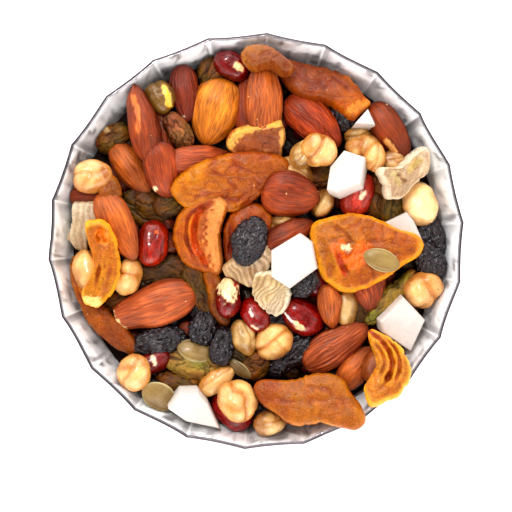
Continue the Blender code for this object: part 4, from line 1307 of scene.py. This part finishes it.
panelSteps = [
    ("angle", "ARCTAN2", "Y", "X"), ("angle", "SUBTRACT", "angle", "Turn"),
    ("pitch", "DIVIDE", 2 * math.pi, "Panels"), ("halfPitch", "MULTIPLY", "pitch", 0.5),
    ("within", "FLOORED_MODULO", "angle", "pitch"), ("across", "SUBTRACT", "within", "halfPitch"),
    ("which", "DIVIDE", "angle", "pitch"), ("which", "FLOOR", "which"),
    # flat panels: the radius shrinks by cos(half pitch) / cos(across)
    ("top", "COSINE", "halfPitch"), ("below", "COSINE", "across"), ("flat", "DIVIDE", "top", "below"),
    ("share", "smooth", "rise", "Panel Start", 1.0),
    ("flat", "SUBTRACT", 1.0, "flat"), ("flat", "MULTIPLY", "flat", "share"), ("factor", "SUBTRACT", 1.0, "flat"),
    # each panel is dished, more towards one side, and not all alike
    ("side", "DIVIDE", "across", "halfPitch"), ("squared", "MULTIPLY", "side", "side"),
    ("crown", "SUBTRACT", 1.0, "squared"), ("lean", "random", -0.9, 0.9, "which", "Seed"),
    ("leaning", "MULTIPLY_ADD", "side", "lean", 1.0), ("crown", "MULTIPLY", "crown", "leaning"),
    ("risen", "MULTIPLY", "rise", "rise"), ("dish", "MULTIPLY", "crown", "Dishing"),
    ("dish", "MULTIPLY", "dish", "risen"), ("kept", "smooth", "rise", 0.94, 0.998, 1.0, 0.0),
    # a crease stands inwards at each corner, and fades out at the rim
    ("corner", "ABSOLUTE", "side"), ("crease", "smoother", "corner", 0.84, 1.0),
    ("crease", "MULTIPLY", "crease", "Crease Depth"), ("crease", "MULTIPLY", "crease", "share"),
    ("crease", "MULTIPLY", "crease", "kept"),
    # hammered dents, fading out at the rim
    ("scale", "DIVIDE", 1.0, "Dent Size"), ("dent", "noise", "place", "Seed", "scale", 1.0),
    ("dent", "SUBTRACT", "dent", 0.5), ("dent", "MULTIPLY", "dent", "Dent Depth"),
    ("dent", "MULTIPLY", "dent", "share"), ("dent", "MULTIPLY", "dent", "kept"),
    # greyer patches of painted reflection, where the steel is also smoother: beside one crease of each panel
    ("leaning", "SIGN", "lean"), ("sideward", "MULTIPLY", "side", "leaning"),
    ("beside", "smooth", "sideward", 0.45, 0.90), ("strength", "ABSOLUTE", "lean"),
    ("strength", "MULTIPLY_ADD", "strength", 0.55, 0.35), ("beside", "MULTIPLY", "beside", "strength"),
    # more patches of painted reflection in spots, drawn anew in each panel
    ("level", "vector", "X", "Y"), ("radius", "length", "level"), ("radius", "MAXIMUM", "radius", 1e-6),
    ("along", "MULTIPLY", "across", "radius"), ("apart", "MULTIPLY", "which", 0.1),
    ("along", "ADD", "along", "apart"), ("down", "MULTIPLY", "Z", 1.1), ("spot", "vector", "along", "down"),
    ("cells", "noise", "spot", "Seed", "scale", 1.0, 0.4), ("spots", "smooth", "cells", 0.48, 0.73),
    # and painted reflection in streaks down the wall
    ("narrow", "MULTIPLY", "along", 1.9), ("drawn", "MULTIPLY", "down", 0.35), ("thin", "vector", "narrow", "drawn"),
    ("another", "ADD", "Seed", 3.0), ("streaks", "noise", "thin", "another", "scale", 1.0, 0.3),
    ("streaks", "smooth", "streaks", 0.52, 0.76, 0.0, 0.8), ("spots", "MAXIMUM", "streaks", "spots"),
    ("grey", "clamped", "beside", "spots"), ("ridge", "straight", "corner", 0.955, 0.985, 1.0, 0.0),
    ("grey", "MULTIPLY", "grey", "ridge"), ("grey", "MULTIPLY", "grey", "share"),
    # dish, crease and dent all move the wall towards the axis
    ("inwards", "ADD", "dish", "crease"), ("inwards", "ADD", "inwards", "dent"),
    ("shrink", "DIVIDE", "inwards", "radius"), ("factor", "SUBTRACT", "factor", "shrink"),
    ("newX", "MULTIPLY", "X", "factor"), ("newY", "MULTIPLY", "Y", "factor"),
    ("moved", "vector", "newX", "newY", "Z"),
]


def panelTree(material):
    numbers = ("Panels", "Turn", "Panel Start", "Dishing", "Crease Depth", "Dent Depth", "Dent Size", "Seed")
    tree, given = newTree("bowlPanels", dict.fromkeys(numbers, "Float"))
    place = put(tree, "GeometryNodeInputPosition")
    axes = put(tree, "ShaderNodeSeparateXYZ", place).outputs
    rise = put(tree, "GeometryNodeInputNamedAttribute", data_type="FLOAT", named={"Name": "rise"}, out="Attribute")
    known = {**given, "place": place, "rise": rise, "X": axes["X"], "Y": axes["Y"], "Z": axes["Z"]}
    for name, step, *terms in panelSteps:
        kind, sockets, out, settings = stepKinds.get(step, ("ShaderNodeMath", (0, 1, 2), 0, {"operation": step}))
        feeds = {socket: known.get(term, term) for socket, term in zip(sockets, terms)}
        known[name] = put(tree, kind, named=feeds, out=out, **settings)
    # the grey patches are stored for the steel: painted reflection, and smoother steel
    marked = put(
        tree, "GeometryNodeStoreNamedAttribute", given["Geometry"], data_type="FLOAT", domain="POINT",
        named={"Name": "polish", "Value": known["grey"]},
    )
    shaped = put(tree, "GeometryNodeSetPosition", marked, named={"Position": known["moved"]})
    real = put(tree, "GeometryNodeRealizeInstances", shaped)
    put(tree, "NodeGroupOutput", put(tree, "GeometryNodeSetMaterial", real, named={"Material": material}))
    return tree



def runTree(made, tree, inputs):
    # sets the inputs by their identifiers, evaluates once and keeps the result as a plain mesh
    live = made.modifiers.new(tree.name, "NODES")
    live.node_group = tree
    for socket in tree.interface.items_tree:
        if socket.item_type == "SOCKET" and socket.in_out == "INPUT" and socket.name in inputs:
            live[socket.identifier] = inputs[socket.name]
    bpy.context.view_layer.update()
    graph = bpy.context.evaluated_depsgraph_get()
    result = bpy.data.meshes.new_from_object(made.evaluated_get(graph))
    made.modifiers.remove(live)
    made.data = result
    return made


def makeBowl():
    b = bowlValues
    steel = bowlSteel()
    made = writeMesh("bowl_fine", [bowlBlank()], steel)
    inputs = {
        "Panels": float(b["panels"]), "Turn": math.radians(b["turnDeg"]), "Panel Start": b["panelStart"],
        "Dishing": b["dishing"] * mm, "Crease Depth": b["creaseDepth"] * mm, "Dent Depth": b["dentDepth"] * mm,
        "Dent Size": b["dentSize"] * mm, "Seed": float(b["seed"]),
    }
    runTree(made, panelTree(steel), inputs)
    made.data.shade_smooth()
    return made


coreValues = {"columns": 72, "wallRings": 8, "topRings": 24, "bumps": 0.8, "bumpSize": 5.0, "sunk": 0.8}


def makeCore():
    c = coreValues
    edgeRadius, edgeHeight = coreEdge()
    low = bowlValues["sheet"] + heapValues["floorGap"]
    turns = 2 * math.pi * np.arange(c["columns"]) / c["columns"]
    profile = [(bowlValues["footRadius"] - heapValues["footInset"], low)]
    heights = low + (edgeHeight - low) * (np.arange(1, c["wallRings"] + 1) / c["wallRings"]) ** 2
    profile += [(float(narrowestRadius(h)), h) for h in heights]
    radii = [edgeRadius * (1 - s / c["topRings"]) for s in range(1, c["topRings"])]
    profile += [(r, float(coreTop(r))) for r in radii]
    points = turned(profile, turns, low, float(coreTop(0.0)))
    top = points[:, 2] > edgeHeight - 1
    points[:, 2] += np.where(top, c["bumps"] * roughNoise(points / c["bumpSize"], 3), 0) - c["sunk"] * top
    faces = skinFaces(len(profile), c["columns"])
    return writeMesh("heap_core", [(points, *faces, {"rise": points[:, 2]})], packedMix())


# Putting it together: the pieces and the kind that each is made of
pieceSets = {
    "almonds": "almond", "apricots": "apricot", "black_raisins": "raisin", "green_raisins": "greenRaisin",
    "chickpeas": "chickpea", "hazelnuts": "hazelnut", "peanuts": "peanut", "coconut": "coconut",
    "ginger": "ginger", "pumpkin_seeds": "seed",
}
# Loose bits that Geometry Nodes scatter: Spacing and Lift are in millimetres, Density is for a square
# metre, the sizes are multiples of a shape, and Tip is the most that it tips, in radians
scatterValues = {
    "broken_bits": {
        "Spacing": 6.0, "Density": 2e5, "Smallest": 0.75, "Largest": 1.1, "Lift": 0.5, "Flattest": 0.9,
        "Tip": 0.2, "Seed": 11,
    },
    "nut_meal": {
        "Spacing": 6.0, "Density": 7e3, "Smallest": 0.18, "Largest": 0.45, "Lift": 0.0, "Flattest": 0.60,
        "Tip": 1.2, "Seed": 4,
    },
}
brokenRows = [
    almond(
        0, 0, 0, 9.5, 6.5, 4.5, tone="deep", broken=True), almond(0, 0, 0, 8, 6, 4.5,
        tone="plain", broken=True,
    ),
    greenRaisin(0, 0, 0, 9, 5.5, 4.5, tone="dark", broken=True), raisin(0, 0, 0, 8, 6, 4.5, broken=True),
    peanut(0, 0, 0, 8, 6, 5, tone="dark", broken=True), chickpea(0, 0, 0, 7, 6, 5, tone="caramel", broken=True),
]
mealTones = ["#DCBC8C", "#E2CCA4", "#CFA468", "#B06A3C", "#A87A4C"]


def brokenShapes():
    made = []
    for number, row in enumerate(brokenRows):
        shift = heapValues["brokenShift"] * number
        points, faces, hollow, grain = nutMakers[row.kind](row, shift)
        tint = nutTint(row, points, hollow, shift) * [0.55, 0.45, 0.45, 1]  # in the shade of the gaps
        read = {"tint": tint, "grain": grain, "hollow": np.clip(hollow, 0, 1), "bare": 0 * hollow}
        made.append(writeMesh(f"broken{number}", [(points, *faces, read)], None))
    return made


def mealShapes():
    # chips with twenty faces, the last two thin as skins
    golden = (1 + math.sqrt(5)) / 2
    corners = np.array([(0, a, b * golden) for a in (-1, 1) for b in (-1, 1)])
    corners = np.concatenate([np.roll(corners, turn, axis=1) for turn in range(3)]) / math.hypot(1, golden)
    threes = [
        (i, j, k) for i in range(12) for j in range(i) for k in range(j)
        if all(np.linalg.norm(corners[a] - corners[b]) < 1.1 for a, b in ((i, j), (j, k), (i, k)))
    ]
    threes = [t if np.linalg.det(corners[list(t)]) > 0 else t[::-1] for t in threes]
    made = []
    for number, tone in enumerate(mealTones):
        points = corners * (1 + 0.35 * softNoise(corners * 1.3, 5 + number))[:, None]
        points = points * ([1.2, 0.8, 0.25] if number > 2 else [1.0, 0.75, 0.55])
        read = {
            "tint": np.tile(linear(tone), (12, 1)), "grain": points + number,
            "hollow": np.zeros(12), "bare": np.zeros(12),
        }
        made.append(writeMesh(f"meal{number}", [(points, np.zeros((0, 4), int), np.array(threes), read)], None))
    return made


def scatterTree(name, material):
    numbers = ("Spacing", "Density", "Smallest", "Largest", "Lift", "Flattest", "Tip")
    tree, given = newTree(name, {"Shapes": "Collection", "Seed": "Int", **dict.fromkeys(numbers, "Float")})
    upward = put(tree, "ShaderNodeSeparateXYZ", put(tree, "GeometryNodeInputNormal"), out="Z")
    level = put(
        tree, "FunctionNodeCompare", data_type="FLOAT", operation="GREATER_THAN",
        named={"A": upward, "B": given["Flattest"]},
    )
    spots = put(
        tree, "GeometryNodeDistributePointsOnFaces", distribute_method="POISSON",
        named={
            "Mesh": given["Geometry"], "Selection": level, "Distance Min": given["Spacing"],
            "Density Max": given["Density"], "Seed": given["Seed"],
        },
    )
    shapes = put(tree, "GeometryNodeCollectionInfo", named={"Collection": given["Shapes"], "Separate Children": True})
    sizes = {2: given["Smallest"], 3: given["Largest"], "Seed": given["Seed"]}
    tip = put(tree, "ShaderNodeCombineXYZ", given["Tip"], given["Tip"], math.pi)
    back = put(tree, "ShaderNodeVectorMath", tip, operation="SCALE", named={"Scale": -1.0})
    turns = {0: back, 1: tip, "Seed": given["Seed"]}
    laid = put(
        tree, "GeometryNodeInstanceOnPoints",
        named={
            "Points": spots, "Instance": shapes, "Pick Instance": True,
            "Rotation": put(tree, "FunctionNodeRandomValue", data_type="FLOAT_VECTOR", named=turns, out=0),
            "Scale": put(tree, "FunctionNodeRandomValue", data_type="FLOAT", named=sizes, out=1),
        },
    )
    lift = put(tree, "ShaderNodeCombineXYZ", 0.0, 0.0, given["Lift"])
    lifted = put(tree, "GeometryNodeTranslateInstances", laid, named={"Translation": lift, "Local Space": False})
    real = put(tree, "GeometryNodeRealizeInstances", lifted)
    put(tree, "NodeGroupOutput", put(tree, "GeometryNodeSetMaterial", real, named={"Material": material}))
    return tree



def scatter(name, ground, shapes, material):
    # lays the shapes over the ground, keeps them off the wall and removes what was only lent
    lent = bpy.data.collections.new(name + "_shapes")
    for shape in shapes:
        bpy.context.scene.collection.objects.unlink(shape)
        lent.objects.link(shape)
    v = scatterValues[name]
    inputs = {**v, "Spacing": v["Spacing"] * mm, "Lift": v["Lift"] * mm, "Shapes": lent}
    made = runTree(ground, scatterTree(name, material), inputs)
    for shape in shapes:
        bpy.data.objects.remove(shape)
    bpy.data.collections.remove(lent)
    spots = np.zeros(len(made.data.vertices) * 3)
    made.data.vertices.foreach_get("co", spots)
    spots = keptOffWall(spots.reshape(-1, 3) / mm) * mm
    made.data.vertices.foreach_set("co", spots.ravel())
    made.data.update()
    report(f"{name}: {len(made.data.polygons)} faces")
    return made


groundValues = {"columns": 48, "rings": 12, "inset": 3.0, "poleDepth": 20.0}  # what broken bits lie on


def makeLooseBits(parts):
    g = groundValues
    turns = 2 * math.pi * np.arange(g["columns"]) / g["columns"]
    radii = (coreEdge()[0] - g["inset"]) * (1 - np.arange(g["rings"]) / g["rings"])
    crown = float(coreTop(0.0))
    points = turned([(r, float(coreTop(r))) for r in radii], turns, crown - g["poleDepth"], crown)
    faces = skinFaces(g["rings"], g["columns"])
    ground = writeMesh("broken_bits", [(points, *faces, {"rise": points[:, 2]})], None)
    broken = scatter("broken_bits", ground, brokenShapes(), foodMaterial("broken"))
    carried = [part for kind in ("apricot", "almond", "chickpea", "ginger") for part in parts[kind]]
    meal = scatter("nut_meal", writeMesh("nut_meal", carried, None), mealShapes(), foodMaterial("meal"))
    return [broken, meal]


def makeHeap():
    parts = {}
    for number, (piece, x, y, z, slope) in enumerate(settle(layout)):
        maker = slabPart if isinstance(piece, Slab) else nutPart
        made = maker(piece, x, y, z, slope, heapValues["noiseShift"] * number)
        parts.setdefault(piece.kind, []).append(made)
    pieces = []
    for name, kind in pieceSets.items():
        pieces.append(writeMesh(name, parts[kind], foodMaterial(kind)))
        report(f"{name}: {len(parts[kind])} made, {sum(len(p[1]) * 2 + len(p[2]) for p in parts[kind])} triangles")
    return pieces + makeLooseBits(parts)



stageValues = {
    "floorSize": 3.0, "floorGlow": 0.24, "eye": 0.65, "focal": 36 * 0.6 * 3190 / 512, "shiftY": -15 / 512,
    "sky": (2.45, 0.12),  # at the horizon and overhead
    # place in metres, side of the soft box, watts
    "lights": {
        "overhead": ((-0.04, 0.20, 0.95), 0.60, 1.7),
        "window": ((-0.18, 0.38, 0.80), 0.07, 2.4),
        "side": ((0.45, -0.20, 0.70), 0.50, 0.6),
        "front": ((0.00, -0.62, 0.36), 0.50, 2.2),
        "back": ((0.00, 0.62, 0.36), 0.50, 1.8),
    },
}


def makeStage():
    s = stageValues
    mesh = bpy.data.meshes.new("floor")
    half = s["floorSize"]
    mesh.from_pydata([(-half, -half, 0), (half, -half, 0), (half, half, 0), (-half, half, 0)], [], [(0, 1, 2, 3)])
    mesh.materials.append(floorMaterial())
    floor = bpy.data.objects.new("floor", mesh)
    scene = bpy.context.scene
    scene.collection.objects.link(floor)
    world = bpy.data.worlds.new("studio")
    world.use_nodes = True
    sky = world.node_tree
    way = put(sky, "ShaderNodeTexCoord").outputs["Generated"]
    upward = put(sky, "ShaderNodeSeparateXYZ", way).outputs["Z"]
    strength = put(sky, "ShaderNodeMapRange", upward, 0.0, 1.0, *s["sky"])
    join(sky, sky.nodes["Background"], {"Color": (1, 1, 1, 1), "Strength": strength})
    scene.world = world
    for name, (place, size, power) in s["lights"].items():
        light = bpy.data.lights.new(name, "AREA")
        light.size = size
        light.energy = power
        lamp = bpy.data.objects.new(name, light)
        lamp.location = place
        lamp.rotation_euler = (Vector((0, 0, 0.04)) - Vector(place)).to_track_quat("-Z", "Y").to_euler()
        scene.collection.objects.link(lamp)
    camera = bpy.data.objects.new("camera", bpy.data.cameras.new("camera"))
    camera.data.sensor_width = 36
    camera.data.lens = s["focal"]
    camera.data.shift_y = s["shiftY"]
    camera.location = (0, 0, s["eye"])
    scene.collection.objects.link(camera)
    scene.camera = camera
    scene.view_settings.view_transform = "Standard"
    scene.view_settings.look = "Medium High Contrast"


makeStage()
report("stage ready")
bowl = makeBowl()
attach(bowl, "root")
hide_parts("bowl")
report("bowl panelled")
for piece in [*makeHeap(), makeCore()]:
    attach(piece, "root")
    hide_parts("trail_mix")
report("heap settled")
